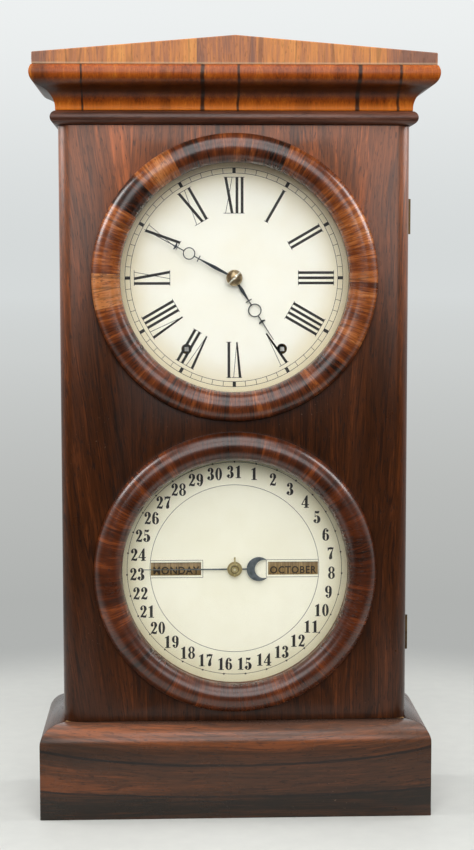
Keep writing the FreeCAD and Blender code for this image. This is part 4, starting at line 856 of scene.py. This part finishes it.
def rosewood(name, colours, bands=60.0, stretch=0.05, waviness=0.01, fineness=0.5, turn=(0, 0, 0),
             shift=(0, 0, 0), bow=0.0, ring_center=None, parts=(), joint=0.5, streaks=(), wander=0.002,
             ink=0.5, pores=0.35, gloss=0.30, shine=0.38, coat=0.2, hollow_varnish_and_shade=None, lit_and_worn_band=None, painted_top_light=None):
    """Polished rosewood veneer. Colours run from the darkest tone to the lightest. The grain
    runs along Z of the turned coordinates, or out from ring_center. Each part is a strip of
    veneer: where it starts, how much lighter it is and how much its grain leans. Each streak
    has its place across the grain, its width and its depth."""
    material, tree, shader, spot = start_material(name)
    if ring_center:
        grain = apply_group(tree, around_dial, Vector=spot, Centre=ring_center)[0]
        grain = moved(tree, "ADD", grain, shift)
    else:
        grain = place(tree, "Mapping", {"Vector": spot, "Location": shift,
                                        "Rotation": [degrees * DEGREE for degrees in turn]}).outputs[0]
    flat = place(tree, "SeparateXYZ", {0: grain}).outputs
    side = flat[0]
    if bow:
        along = sum_of(tree, "MULTIPLY", flat[2], flat[2])
        side = sum_of(tree, "MULTIPLY", side, sum_of(tree, "MULTIPLY_ADD", along, -bow, 1.0))
        grain = place(tree, "CombineXYZ", {0: side, 1: flat[1], 2: flat[2]}).outputs[0]
    seams = 0.0
    lift = 0.0
    lean = 0.0
    last_lift = 0.0
    last_lean = 0.0
    for order, (start, lighter, leaning) in enumerate(parts):
        edge = sum_of(tree, "SUBTRACT", side, start)
        if joint < 0:
            sway = sum_of(tree, "SUBTRACT", noise(tree, grain, 14.0, 2.0), 0.5)
            edge = sum_of(tree, "MULTIPLY_ADD", sway, wander, edge)
        beyond = sum_of(tree, "GREATER_THAN", edge, 0.0)
        if order:
            jump = place(tree, "VectorMath", {0: (0.31, 0.17, 0.9), "Scale": beyond},
                         operation="SCALE").outputs[0]
            if joint > 0:
                grain = moved(tree, "ADD", grain, jump)
            line = fade(tree, sum_of(tree, "ABSOLUTE", edge), 0.12 * MM, 0.65 * MM, 1.0, 0.0)
            seams = sum_of(tree, "MAXIMUM", line, seams)
        lift = sum_of(tree, "MULTIPLY_ADD", beyond, lighter - last_lift, lift)
        lean = sum_of(tree, "MULTIPLY_ADD", beyond, leaning - last_lean, lean)
        last_lift = lighter
        last_lean = leaning
    if any(leaning for start, lighter, leaning in parts):
        slant = sum_of(tree, "MULTIPLY", lean, flat[2])
        slanted = place(tree, "CombineXYZ", {0: slant, 1: 0.0, 2: 0.0}).outputs[0]
        grain = moved(tree, "ADD", grain, slanted)
    figure = apply_group(tree, rosewood_figure, Vector=grain, Bands=bands, Stretch=stretch,
                         Waviness=waviness, Fineness=fineness)
    toned = sum_of(tree, "ADD", figure["Figure"], lift)
    height = place(tree, "SeparateXYZ", {0: spot}).outputs[2]
    stops = [(0.04 + 0.92 * order / (len(colours) - 1), shade(*colour))
             for order, colour in enumerate(colours)]
    colour = tones(tree, toned, *stops)
    black = shade(20, 14, 12)
    colour = tinted(tree, sum_of(tree, "MULTIPLY", figure["Ink"], ink), colour, black)
    if len(parts) > 1:
        colour = tinted(tree, sum_of(tree, "MULTIPLY", seams, abs(joint)), colour, black)
    colour = tinted(tree, sum_of(tree, "MULTIPLY", figure["Pores"], pores), colour, black)
    # Painted light: lighter towards the top, with a painted reflection haze added there.
    if painted_top_light:
        low, high, gain, haze = painted_top_light
        painted_light_and_wear = fade(tree, height, low, high)
        lit = sum_of(tree, "MULTIPLY_ADD", painted_light_and_wear, gain - 1.0, 1.0)
        colour = place(tree, "VectorMath", {0: colour, "Scale": lit}, operation="SCALE").outputs[0]
        painted_reflection_haze = place(tree, "VectorMath", {0: (haze, haze, haze), "Scale": painted_light_and_wear}, operation="SCALE")
        colour = moved(tree, "ADD", colour, painted_reflection_haze.outputs[0])
    # Darker in a band across the height: partly old varnish in the cornice's cove, partly painted shade under
    # its nose.
    if hollow_varnish_and_shade:
        low, middle, high, depth, tone = hollow_varnish_and_shade
        in_shade = sum_of(tree, "MULTIPLY", fade(tree, height, low, middle), fade(tree, height, high, middle))
        colour = tinted(tree, sum_of(tree, "MULTIPLY", in_shade, depth), colour, shade(*tone))
    # Paler in a band at one height: a painted highlight on the foot of the cornice's cove, and the worn
    # bottom edge of the gable.
    if lit_and_worn_band:
        low, high, depth, tone = lit_and_worn_band
        painted_light_and_wear = sum_of(tree, "MULTIPLY", fade(tree, height, low, high), depth)
        colour = tinted(tree, painted_light_and_wear, colour, shade(*tone))
    for position, width, depth in streaks:
        mask = apply_group(tree, dark_streak, Vector=grain, Place=position + shift[0], Width=width,
                           Wander=wander)["Mask"]
        colour = tinted(tree, sum_of(tree, "MULTIPLY", mask, depth), colour, black)
    polish = apply_group(tree, old_polish, Vector=spot, Scale=16.0)
    colour = tinted(tree, sum_of(tree, "MULTIPLY", polish["Scuffs"], 0.22), colour, shade(200, 160, 130))
    tree.links.new(colour, shader.inputs["Base Color"])
    rough = sum_of(tree, "MULTIPLY_ADD", polish["Cloud"], 0.16, gloss - 0.08)
    rough = sum_of(tree, "MULTIPLY_ADD", figure["Pores"], 0.12, rough)
    tree.links.new(rough, shader.inputs["Roughness"])
    shader.inputs["Specular IOR Level"].default_value = shine
    shader.inputs["Coat Weight"].default_value = coat
    shader.inputs["Coat Roughness"].default_value = 0.22
    uneven = sum_of(tree, "MULTIPLY_ADD", polish["Cloud"], 6.0, figure["Relief"])
    bump(tree, shader, uneven, 0.04 * MM)
    return material


def softwood(name, colours, turn=(0, 0, 0)):
    """Unpolished inside wood with straight growth lines and cloudy stains."""
    material, tree, shader, spot = start_material(name)
    grain = place(tree, "Mapping", {"Vector": spot,
                                    "Rotation": [degrees * DEGREE for degrees in turn]}).outputs[0]
    figure = apply_group(tree, rosewood_figure, Vector=grain, Bands=70.0, Stretch=0.03, Waviness=0.012,
                         Fineness=0.5)
    stops = [(order / (len(colours) - 1), shade(*colour)) for order, colour in enumerate(colours)]
    colour = tones(tree, figure["Figure"], *stops)
    colour = tinted(tree, sum_of(tree, "MULTIPLY", figure["Ink"], 0.35), colour, shade(*colours[0]))
    polish = apply_group(tree, old_polish, Vector=spot, Scale=11.0)
    stain = fade(tree, polish["Cloud"], 0.45, 0.75)
    colour = tinted(tree, sum_of(tree, "MULTIPLY", stain, 0.35), colour, shade(92, 66, 44))
    tree.links.new(colour, shader.inputs["Base Color"])
    tree.links.new(sum_of(tree, "MULTIPLY_ADD", polish["Cloud"], 0.2, 0.55), shader.inputs["Roughness"])
    bump(tree, shader, figure["Relief"], 0.12 * MM)
    return material


def painted_dial(name, ivory, aged, center_z):
    """Old ivory paint, yellower at the rim, with faint mottling."""
    material, tree, shader, spot = start_material(name)
    age = apply_group(tree, dial_age, **{"Vector": spot, "Centre height": center_z})
    aging = sum_of(tree, "MULTIPLY_ADD", age["Mottle"], 0.18, sum_of(tree, "MULTIPLY", age["Rim"], 0.75))
    colour = tinted(tree, aging, shade(*ivory), shade(*aged))
    colour = tinted(tree, sum_of(tree, "MULTIPLY", age["Specks"], 0.18), colour, shade(120, 100, 70))
    tree.links.new(colour, shader.inputs["Base Color"])
    tree.links.new(sum_of(tree, "MULTIPLY_ADD", age["Mottle"], 0.12, 0.4), shader.inputs["Roughness"])
    bump(tree, shader, noise(tree, spot, 160.0, 3.0), 0.02 * MM)
    return material


def printers_ink(name, tone, worn):
    material, tree, shader, spot = start_material(name)
    patches = apply_group(tree, ink_wear, Vector=spot, Scale=700.0)["Patches"]
    colour = tinted(tree, sum_of(tree, "MULTIPLY", patches, 0.3), shade(*tone), shade(*worn))
    tree.links.new(colour, shader.inputs["Base Color"])
    tree.links.new(sum_of(tree, "MULTIPLY_ADD", patches, 0.2, 0.5), shader.inputs["Roughness"])
    return material


def worked_metal(name, clean, tarnished, roughness, amount=0.5):
    """Metal with a fine brushed finish and clouds of tarnish."""
    material, tree, shader, spot = start_material(name)
    age = apply_group(tree, tarnish, Vector=spot)
    colour = tinted(tree, sum_of(tree, "MULTIPLY", age["Cloud"], amount), shade(*clean), shade(*tarnished))
    colour = tinted(tree, sum_of(tree, "MULTIPLY", age["Lines"], 0.18), colour, shade(*tarnished))
    tree.links.new(colour, shader.inputs["Base Color"])
    shader.inputs["Metallic"].default_value = 1.0
    rough = sum_of(tree, "MULTIPLY_ADD", age["Cloud"], 0.18, roughness)
    rough = sum_of(tree, "MULTIPLY_ADD", age["Lines"], 0.1, rough)
    tree.links.new(rough, shader.inputs["Roughness"])
    bump(tree, shader, age["Lines"], 0.01 * MM)
    return material


def cap_metal(name):
    """Browned brass cap with the bright taper pin that crosses it."""
    material, tree, shader, spot = start_material(name)
    part = place(tree, "SeparateXYZ", {0: spot}).outputs
    rise = sum_of(tree, "SUBTRACT", part[2], TIME_Z)
    off_line = sum_of(tree, "ABSOLUTE", sum_of(tree, "SUBTRACT", part[0], rise))
    pin = sum_of(tree, "MULTIPLY", fade(tree, off_line, 0.9 * MM, 1.3 * MM, 1.0, 0.0),
                 fade(tree, part[1], -31.4 * MM, -31.0 * MM, 1.0, 0.0))
    age = apply_group(tree, tarnish, Vector=spot, Scale=180.0)
    brown = tinted(tree, age["Cloud"], shade(190, 172, 138), shade(120, 98, 68))
    colour = tinted(tree, pin, brown, shade(226, 222, 204))
    tree.links.new(colour, shader.inputs["Base Color"])
    shader.inputs["Metallic"].default_value = 1.0
    tree.links.new(sum_of(tree, "MULTIPLY_ADD", age["Cloud"], 0.2, 0.26), shader.inputs["Roughness"])
    bump(tree, shader, age["Lines"], 0.01 * MM)
    return material


def round_date_center(tree, spot):
    part = place(tree, "SeparateXYZ", {0: spot}).outputs
    rise = sum_of(tree, "SUBTRACT", part[2], DATE_Z)
    squares = sum_of(tree, "MULTIPLY_ADD", part[0], part[0], sum_of(tree, "MULTIPLY", rise, rise))
    return sum_of(tree, "SQRT", squares)


def date_hub_metal(name):
    """Yellow brass hub, darker in a ring at its turned groove, with a painted glint in the middle."""
    material, tree, shader, spot = start_material(name)
    away = round_date_center(tree, spot)
    age = apply_group(tree, tarnish, Vector=spot, Scale=140.0)
    brassy = tinted(tree, age["Cloud"], shade(226, 212, 160), shade(168, 150, 96))
    groove = sum_of(tree, "ABSOLUTE", sum_of(tree, "SUBTRACT", away, 3.3 * MM))
    colour = tinted(tree, fade(tree, groove, 0.3 * MM, 0.8 * MM, 0.75, 0.0), brassy, shade(84, 72, 40))
    # Painted glint: a pale spot in the middle of the hub.
    colour = tinted(tree, fade(tree, away, 0.8 * MM, 1.6 * MM, 0.7, 0.0), colour, shade(246, 240, 214))
    tree.links.new(colour, shader.inputs["Base Color"])
    shader.inputs["Metallic"].default_value = 0.7
    tree.links.new(sum_of(tree, "MULTIPLY_ADD", age["Cloud"], 0.2, 0.3), shader.inputs["Roughness"])
    bump(tree, shader, age["Lines"], 0.01 * MM)
    return material


def date_hand_metal(name):
    """Greyed blue steel of the date hand, with the brass collar it is riveted to."""
    material, tree, shader, spot = start_material(name)
    away = round_date_center(tree, spot)
    age = apply_group(tree, tarnish, Vector=spot, Scale=120.0)
    steely = tinted(tree, age["Cloud"], shade(116, 124, 128), shade(74, 82, 84))
    collar = fade(tree, away, 6.9 * MM, 7.1 * MM, 1.0, 0.0)
    colour = tinted(tree, collar, steely, shade(176, 160, 112))
    tree.links.new(colour, shader.inputs["Base Color"])
    shader.inputs["Metallic"].default_value = 0.7
    tree.links.new(sum_of(tree, "MULTIPLY_ADD", age["Cloud"], 0.2, 0.36), shader.inputs["Roughness"])
    bump(tree, shader, age["Lines"], 0.01 * MM)
    return material


def oiled_steel(name):
    """Winding arbor: painted near black behind its end, a painted shade deep in the winding hole, and worn
    bright at the end that the key takes.
    """
    material, tree, shader, spot = start_material(name)
    depth = place(tree, "SeparateXYZ", {0: spot}).outputs[1]
    worn = fade(tree, depth, -26.9 * MM, -26.2 * MM, 1.0, 0.0)
    age = apply_group(tree, tarnish, Vector=spot, Scale=120.0)
    bright = tinted(tree, age["Cloud"], shade(214, 214, 208), shade(150, 148, 140))
    # Painted shade: the arbor is near black away from its bright end.
    colour = tinted(tree, worn, shade(24, 22, 20), bright)
    tree.links.new(colour, shader.inputs["Base Color"])
    tree.links.new(fade(tree, worn, 0.0, 1.0, 0.2, 0.8), shader.inputs["Metallic"])
    tree.links.new(sum_of(tree, "MULTIPLY_ADD", age["Lines"], 0.2, 0.35), shader.inputs["Roughness"])
    return material


def roller_finish(name):
    """Varnished paper of the rollers, browned, with fine lines round the drum."""
    material, tree, shader, spot = start_material(name)
    around = noise(tree, moved(tree, "MULTIPLY", spot, (900.0, 60.0, 60.0)), 1.0, 3.0)
    cloud = noise(tree, spot, 90.0, 3.0)
    colour = tones(tree, around, (0.25, shade(98, 76, 40)), (0.55, shade(150, 124, 78)),
                   (0.8, shade(176, 150, 100)))
    stain = sum_of(tree, "MULTIPLY", fade(tree, cloud, 0.4, 0.8), 0.4)
    colour = tinted(tree, stain, colour, shade(96, 72, 38))
    tree.links.new(colour, shader.inputs["Base Color"])
    tree.links.new(sum_of(tree, "MULTIPLY_ADD", cloud, 0.2, 0.3), shader.inputs["Roughness"])
    bump(tree, shader, around, 0.03 * MM)
    return material


def cast_metal(name):
    material, tree, shader, spot = start_material(name)
    grit = noise(tree, spot, 420.0, 4.0, 0.7)
    rust = fade(tree, noise(tree, spot, 40.0, 4.0), 0.5, 0.75)
    colour = tinted(tree, sum_of(tree, "MULTIPLY", rust, 0.4), shade(44, 43, 44), shade(84, 58, 42))
    tree.links.new(colour, shader.inputs["Base Color"])
    shader.inputs["Metallic"].default_value = 0.6
    tree.links.new(sum_of(tree, "MULTIPLY_ADD", grit, 0.25, 0.45), shader.inputs["Roughness"])
    bump(tree, shader, grit, 0.12 * MM)
    return material


def old_glass():
    """Clear sheet glass that lamps shine through, with the slight waves of old glass."""
    material, tree, shader, spot = start_material("clear_dial_glass")
    shader.inputs["Base Color"].default_value = (1.0, 1.0, 1.0, 1.0)
    shader.inputs["Transmission Weight"].default_value = 1.0
    shader.inputs["Roughness"].default_value = 0.0
    shader.inputs["IOR"].default_value = 1.45
    waves = noise(tree, spot, 14.0, 1.0)
    bump(tree, shader, waves, 0.4 * MM, 0.3)
    clear = place(tree, "BsdfTransparent")
    lamps = place(tree, "LightPath").outputs["Is Shadow Ray"]
    both = place(tree, "MixShader", {0: lamps, 1: shader.outputs[0], 2: clear.outputs[0]})
    end = next(node for node in tree.nodes if node.type == "OUTPUT_MATERIAL")
    tree.links.new(both.outputs[0], end.inputs["Surface"])
    return material


# Finishes of this clock

DARK_TONES = ((28, 16, 9), (60, 31, 14), (74, 38, 17), (104, 54, 25))
# The door's lighter, hazier top is painted light and painted reflection.
door_veneer = rosewood(
    "door_rosewood", DARK_TONES, bands=46.0, stretch=0.035, waviness=0.018, fineness=0.6,
    parts=((-1.0, 0.04, 0.12), (-91.0 * MM, -0.04, 0.0), (92.0 * MM, 0.06, -0.04)), ink=0.6, pores=0.6,
    painted_top_light=(340.0 * MM, 650.0 * MM, 4.6, 0.03), shine=0.24, coat=0.1)
side_veneer = rosewood("case_side_rosewood", DARK_TONES[:3], bands=50.0, shift=(0.4, 0.2, 0.1))
BEAD_TONES = ((48, 31, 24), (90, 54, 40), (130, 82, 62))
bead_finish = rosewood("neck_bead_rosewood", BEAD_TONES, bands=110.0, stretch=0.03, turn=(0, -90, 0),
                       gloss=0.36)
bead_side_finish = rosewood("neck_bead_side_rosewood", BEAD_TONES, bands=110.0, stretch=0.03,
                            turn=(90, 0, 0), gloss=0.36)
cornice_finish = rosewood(
    "cornice_crossband", ((92, 40, 12), (160, 74, 18), (186, 92, 24), (214, 124, 40)), bands=44.0,
    stretch=0.06, waviness=0.003, fineness=0.6, ink=0.15, pores=0.25, gloss=0.36, coat=0.05,
    streaks=((-132.0 * MM, 1.3 * MM, 0.9), (-28.0 * MM, 2.6 * MM, 0.9), (3.0 * MM, 1.7 * MM, 0.85),
             (107.0 * MM, 2.8 * MM, 0.9), (142.0 * MM, 1.8 * MM, 0.85), (-167.0 * MM, 9.0 * MM, 0.5),
             (-60.0 * MM, 6.0 * MM, 0.25), (60.0 * MM, 8.0 * MM, 0.2)), wander=0.004,
    # The dark band in the cove is old varnish and painted shade.
    hollow_varnish_and_shade=(629.5 * MM, 641.0 * MM, 653.0 * MM, 0.86, (38, 20, 9)),
    # The pale orange at the foot of the cove is a painted highlight.
    lit_and_worn_band=(632.0 * MM, 625.5 * MM, 0.6, (244, 134, 26)))
GABLE_LEAVES = ((-1000, -0.28), (-153, -0.05), (-135, 0.10), (-120, -0.08), (-106, 0.26), (-72, 0.0),
                (-52, 0.24), (-33, -0.28), (4, -0.12), (24, 0.18), (42, -0.04), (56, 0.18), (74, 0.0),
                (116, 0.18), (130, -0.24))
gable_finish = rosewood(
    "gable_crossband", ((146, 98, 76), (190, 120, 76), (222, 142, 72), (240, 164, 84)), bands=30.0,
    stretch=0.08, waviness=0.010, fineness=0.5, ink=0.35, pores=0.2, gloss=0.42, coat=0.05, joint=0.12,
    parts=[(start * MM, tone, 0) for start, tone in GABLE_LEAVES],
    lit_and_worn_band=(663.6 * MM, 661.4 * MM, 0.6, (228, 200, 164)))
# The base is painted lighter towards its top, a painted sheen on its shoulder.
base_finish = rosewood(
    "base_rosewood", ((32, 22, 13), (60, 35, 19), (76, 43, 22), (112, 60, 28)), bands=40.0,
    stretch=0.05, waviness=0.012, fineness=0.5, turn=(0, -90, 0), bow=8.0, joint=-0.8, wander=0.003,
    parts=((-1.0, 0.08, 0), (-47.0 * MM, 0.04, 0), (-19.5 * MM, -0.24, 0)), ink=0.45, pores=0.5,
    painted_top_light=(58.0 * MM, 84.0 * MM, 1.9, 0.03),
    streaks=((-48.0 * MM, 1.1 * MM, 0.8), (-20.0 * MM, 0.8 * MM, 0.8)), gloss=0.28, shine=0.24,
    coat=0.35)
base_side_finish = rosewood("base_side_rosewood", ((36, 25, 16), (64, 38, 22), (94, 52, 27)),
                            bands=50.0, turn=(90, 0, 0), gloss=0.28)


def bezel_finish(name, colours, center_z, segments, streaks, shift):
    """Radial veneer laid in segments, each with its start in degrees from the top and its tone."""
    radius = 113.0 * MM
    parts = [(-1.0, segments[0][1], 0)]
    parts += [(start * DEGREE * radius + shift[0], tone, 0) for start, tone in segments[1:]]
    return rosewood(
        name, colours, bands=36.0, stretch=0.10, waviness=0.010, fineness=0.58, shift=shift,
        gloss=0.28, coat=0.6, ring_center=(0.0, 0.0, center_z), wander=0.004, ink=0.55, pores=0.5,
        parts=parts, joint=0.3,
        streaks=[(turn * DEGREE * radius, width * MM, 0.8) for turn, width in streaks])


time_bezel_finish = bezel_finish(
    "time_bezel_radial_veneer",
    ((42, 23, 14), (96, 46, 22), (124, 62, 29), (172, 96, 46), (204, 130, 74)), TIME_Z,
    ((-180, -0.16), (-163, -0.22), (-150, -0.12), (-131, -0.16), (-112, 0.0), (-103, 0.32),
     (-88, 0.14), (-72, 0.12), (-58.6, -0.30), (-45, 0.10), (-27.5, -0.18), (-1.0, -0.16),
     (16, -0.30), (23, -0.08), (33, -0.24), (40, 0.02), (62, 0.12), (92, 0.06), (100, 0.14),
     (121, -0.10), (146, -0.24), (158, -0.14), (172, -0.08)),
    ((1.5, 1.4), (-74, 2.4), (128, 1.2), (-137, 2.0), (19, 2.2), (-110, 1.6)), (0.0, 0.0, 0.0))
date_bezel_finish = bezel_finish(
    "calendar_bezel_radial_veneer", ((28, 15, 9), (70, 32, 13), (94, 43, 17), (142, 72, 32)), DATE_Z,
    ((-180, -0.02), (-160, 0.02), (-138, -0.08), (-122, 0.04), (-104, 0.08), (-76, 0.0),
     (-60, 0.05), (-46, -0.02), (-33, 0.06), (-20, 0.0), (-9, -0.10), (-3, 0.04), (5, -0.06),
     (12, 0.04), (22, 0.0), (33, 0.05), (49, -0.02), (64, 0.02), (75, -0.02), (89, -0.05),
     (104, 0.02), (125, 0.06), (139, -0.08), (150, 0.02), (166, -0.04)),
    ((-46, 0.9), (22, 0.8), (64, 0.8), (-122, 1.0), (84, 1.4), (-8, 1.8), (8, 0.8), (-68, 0.8),
     (-94, 0.7), (102, 0.8), (152, 1.0), (-152, 0.9)), (0.9, 0.0, 0.2))
plain_wood = softwood("inside_pine", ((126, 90, 54), (168, 128, 82), (196, 158, 108)))
top_wood = softwood("crown_top_pine", ((96, 66, 40), (140, 102, 64), (170, 130, 84)), (0, -90, 0))
ring_wood = softwood("glass_ring_wood", ((70, 44, 28), (108, 70, 42), (132, 90, 56)))
time_paint = painted_dial("time_dial_ivory", (252, 251, 237), (228, 214, 170), TIME_Z)
date_paint = painted_dial("calendar_dial_ivory", (252, 250, 229), (222, 214, 176), DATE_Z)
dial_ink = printers_ink("dial_printing_ink", (24, 23, 19), (58, 56, 46))
line_ink = printers_ink("dial_line_ink", (52, 48, 38), (92, 86, 68))
word_ink = printers_ink("roller_word_ink", (38, 28, 14), (70, 54, 28))
blued_steel = worked_metal("blued_steel", (70, 76, 80), (40, 42, 42), 0.34)
brass = worked_metal("movement_brass", (196, 162, 96), (132, 100, 54), 0.28)
# The front plate is darker brass: partly its tarnish, partly painted shade so the winding holes look deep and
# black.
aged_and_shaded_plate = worked_metal("front_plate_brass", (120, 94, 52), (60, 46, 26), 0.4, 0.7)
hub_brass = date_hub_metal("date_hub_brass")
date_hand_steel = date_hand_metal("date_hand_steel")
cap_brass = cap_metal("cap_brass")
arbor_steel = oiled_steel("winding_arbor_steel")
aged_brass = worked_metal("hinge_brass", (128, 104, 66), (66, 52, 36), 0.4, 0.8)
steel = worked_metal("polished_steel", (176, 178, 182), (104, 98, 92), 0.24)
cast_iron = cast_metal("japanned_iron")
roller_paper = roller_finish("varnished_roller_paper")
dial_glass = old_glass()

slot_finishes = {
    "door_veneer": door_veneer, "case_veneer": side_veneer, "bezel_veneer": time_bezel_finish,
    "cornice_veneer": cornice_finish, "gable_veneer": gable_finish, "bead_wood": bead_finish,
    "base_veneer": base_finish, "crown_top_wood": top_wood, "plain_wood": plain_wood,
    "glass_ring_wood": ring_wood, "clear_glass": dial_glass, "time_dial_paint": time_paint,
    "calendar_dial_paint": date_paint, "blued_steel": blued_steel, "roller_paper": roller_paper,
    "aged_brass": aged_brass, "brass": brass, "steel": steel, "cast_iron": cast_iron}
for node in cad_nodes.values():
    finish = slot_finishes[node.data.materials[0].name]
    node.data.materials[0] = finish
cad_nodes["cannon_pinion"].data.materials[0] = cap_brass
cad_nodes["date_wheel"].data.materials[0] = hub_brass
cad_nodes["date_hand"].data.materials[0] = date_hand_steel
cad_nodes["movement_front_plate"].data.materials[0] = aged_and_shaded_plate
cad_nodes["time_winding_arbor"].data.materials[0] = arbor_steel
cad_nodes["strike_winding_arbor"].data.materials[0] = arbor_steel

# Wooden pieces with worked edges
install(turn_bezel("time_bezel_ring", TIME_Z), time_bezel_finish, "door", "bezel_veneer", "upper_bezel")
install(turn_bezel("calendar_bezel_ring", DATE_Z), date_bezel_finish, "door", "bezel_veneer",
        "lower_bezel")
for stem, section, front, flank, slot in (
        ("base_board", base_section(), base_finish, base_side_finish, "base_veneer"),
        ("neck_bead", bead_section(), bead_finish, bead_side_finish, "bead_wood"),
        ("cornice", cornice_section(), cornice_finish, cornice_finish, "cornice_veneer")):
    for place_name, side, finish in (("front", 0, front), ("left", -1, flank), ("right", 1, flank)):
        node_name = stem + "_" + place_name
        install(run_moulding(node_name + "_run", section, side), finish, "case", slot, node_name)
install(shape_gable(), gable_finish, "case", "gable_veneer", "gable_board")
install(shape_door(), door_veneer, "door", "door_veneer", "door_panel")

# Printing
install(print_minute_track(), dial_ink, "case", "time_dial_paint")
install(print_hour_numerals(), dial_ink, "case", "time_dial_paint")
install(print_date_rings(), line_ink, "case", "calendar_dial_paint")
install(print_window_frames(), line_ink, "case", "calendar_dial_paint")
install(print_date_numerals(), dial_ink, "case", "calendar_dial_paint")
install(roller_words("weekday_words", "day_roller",
                     ("MONDAY", "TUESDAY", "WEDNESDAY", "THURSDAY", "FRIDAY", "SATURDAY", "SUNDAY"),
                     7.0 * MM), word_ink, "day_roller", "roller_paper")
install(roller_words("month_words", "month_roller",
                     ("OCTOBER", "NOVEMBER", "DECEMBER", "JANUARY", "FEBRUARY", "MARCH", "APRIL",
                      "MAY", "JUNE", "JULY", "AUGUST", "SEPTEMBER"), 6.5 * MM),
        word_ink, "month_roller", "roller_paper")


# Floor, lamps, world and camera

def seen_directly(tree):
    """1 for rays that show the backdrop: straight, in a gloss or through glass."""
    path = place(tree, "LightPath").outputs
    clear = sum_of(tree, "MAXIMUM", path["Is Camera Ray"], path["Is Transmission Ray"])
    return sum_of(tree, "MAXIMUM", clear, path["Is Glossy Ray"])


def lay_floor():
    """Pale floor round the clock that runs out into a glowing background, painted darker near the clock and
    paler far off.
    """
    bpy.ops.object.select_all(action="DESELECT")
    bpy.ops.mesh.primitive_circle_add(vertices=96, radius=40.0, fill_type="NGON", location=(0, 0, 0))
    floor = bpy.context.object
    floor.name = floor.data.name = "floor"
    material, tree, shader, spot = start_material("pale_floor")
    flat = place(tree, "SeparateXYZ", {0: spot}).outputs
    squares = sum_of(tree, "MULTIPLY_ADD", flat[0], flat[0], sum_of(tree, "MULTIPLY", flat[1], flat[1]))
    away = sum_of(tree, "SQRT", squares)
    grain = noise(tree, spot, 60.0, 3.0)
    colour = tinted(tree, grain, shade(212, 213, 208), shade(222, 223, 217))
    tree.links.new(colour, shader.inputs["Base Color"])
    shader.inputs["Roughness"].default_value = 0.6
    distance = sum_of(tree, "DIVIDE", sum_of(tree, "LOGARITHM", sum_of(tree, "MAXIMUM", away, 0.5), 2.0), 5.0)
    # Painted falloff of light: the glowing background is darker near the clock and paler far away.
    far = tones(tree, distance, (0.0, shade(176, 178, 176)), (0.25, shade(187, 189, 187)),
                (0.6, shade(204, 207, 206)), (1.0, shade(213, 217, 217)))
    strength = fade(tree, seen_directly(tree), 0.0, 1.0, 0.25, 1.0)
    straight = place(tree, "LightPath").outputs["Is Camera Ray"]
    dimmed = sum_of(tree, "MAXIMUM", straight, fade(tree, flat[1], -0.5, -0.2, 0.06, 1.0))
    strength = sum_of(tree, "MULTIPLY", strength, dimmed)
    paper = place(tree, "Emission", {"Color": far, "Strength": strength})
    in_front = sum_of(tree, "SUBTRACT", fade(tree, flat[1], -0.2, -0.36), straight)
    outside = sum_of(tree, "MAXIMUM", fade(tree, away, 0.46, 0.70), in_front)
    both = place(tree, "MixShader", {0: outside, 1: shader.outputs[0], 2: paper.outputs[0]})
    end = next(node for node in tree.nodes if node.type == "OUTPUT_MATERIAL")
    tree.links.new(both.outputs[0], end.inputs["Surface"])
    floor.data.materials.append(material)


def light_world():
    """Pale backdrop behind the clock, dim room in front of it, even fill."""
    world = bpy.data.worlds.new("studio")
    bpy.context.scene.world = world
    world.use_nodes = True
    tree = world.node_tree
    tree.nodes.clear()
    end = tree.nodes.new("ShaderNodeOutputWorld")
    spot = place(tree, "TexCoord").outputs["Generated"]
    way = place(tree, "SeparateXYZ", {0: spot}).outputs
    sky = tones(tree, fade(tree, way[2], 0.0, 0.17), (0.0, shade(213, 217, 217)), (1.0, shade(238, 241, 241)))
    path = place(tree, "LightPath").outputs
    straight = path["Is Camera Ray"]
    behind = fade(tree, way[1], -0.75, 0.15, 0.08, 1.0)
    strength = sum_of(tree, "MAXIMUM", straight, behind)
    seen = place(tree, "Background", {"Color": sky, "Strength": strength})
    fill = place(tree, "Background", {"Color": shade(236, 238, 242), "Strength": 0.27})
    both = place(tree, "MixShader", {0: seen_directly(tree), 1: fill.outputs[0], 2: seen.outputs[0]})
    tree.links.new(both.outputs[0], end.inputs["Surface"])


def hang_lamp(name, location, target, size, power):
    lamp = bpy.data.lights.new(name, "AREA")
    lamp.shape = "RECTANGLE"
    lamp.size, lamp.size_y = size
    lamp.energy = power
    lamp_object = bpy.data.objects.new(name, lamp)
    bpy.context.scene.collection.objects.link(lamp_object)
    lamp_object.location = location
    aim = Vector(target) - Vector(location)
    lamp_object.rotation_euler = aim.to_track_quat("-Z", "Y").to_euler()
    lamp_object.visible_camera = False


def stand_camera():
    """Camera at the photograph's place: its height, distance, aim and angle of view."""
    camera = bpy.data.cameras.new("camera")
    camera.sensor_fit = "VERTICAL"
    camera.sensor_height = 24.0
    focal_pixels = 1685.0
    picture_height = 850.0
    camera.lens = focal_pixels / picture_height * camera.sensor_height
    eye = bpy.data.objects.new("camera", camera)
    bpy.context.scene.collection.objects.link(eye)
    eye.location = (-53.0 * MM, -1523.0 * MM, 484.0 * MM)
    pitch = 5.18
    roll = 0.07
    yaw = 2.12
    eye.rotation_euler = ((90 - pitch) * DEGREE, roll * DEGREE, -yaw * DEGREE)
    bpy.context.scene.camera = eye


lay_floor()
light_world()
clock_middle = (0, 0, 400.0 * MM)
hang_lamp("left_softbox", (-0.95, 0.05, 1.05), clock_middle, (0.6, 0.6), 8.0)
hang_lamp("right_softbox", (0.95, 0.05, 1.05), clock_middle, (0.6, 0.6), 7.0)
hang_lamp("front_softbox", (0.0, -2.4, 1.45), clock_middle, (3.0, 1.4), 39.0)
hang_lamp("top_softbox", (0.0, -1.0, 1.9), (0, 0, 0.2), (1.4, 1.0), 12.0)
stand_camera()
bpy.context.scene.view_settings.view_transform = "Standard"
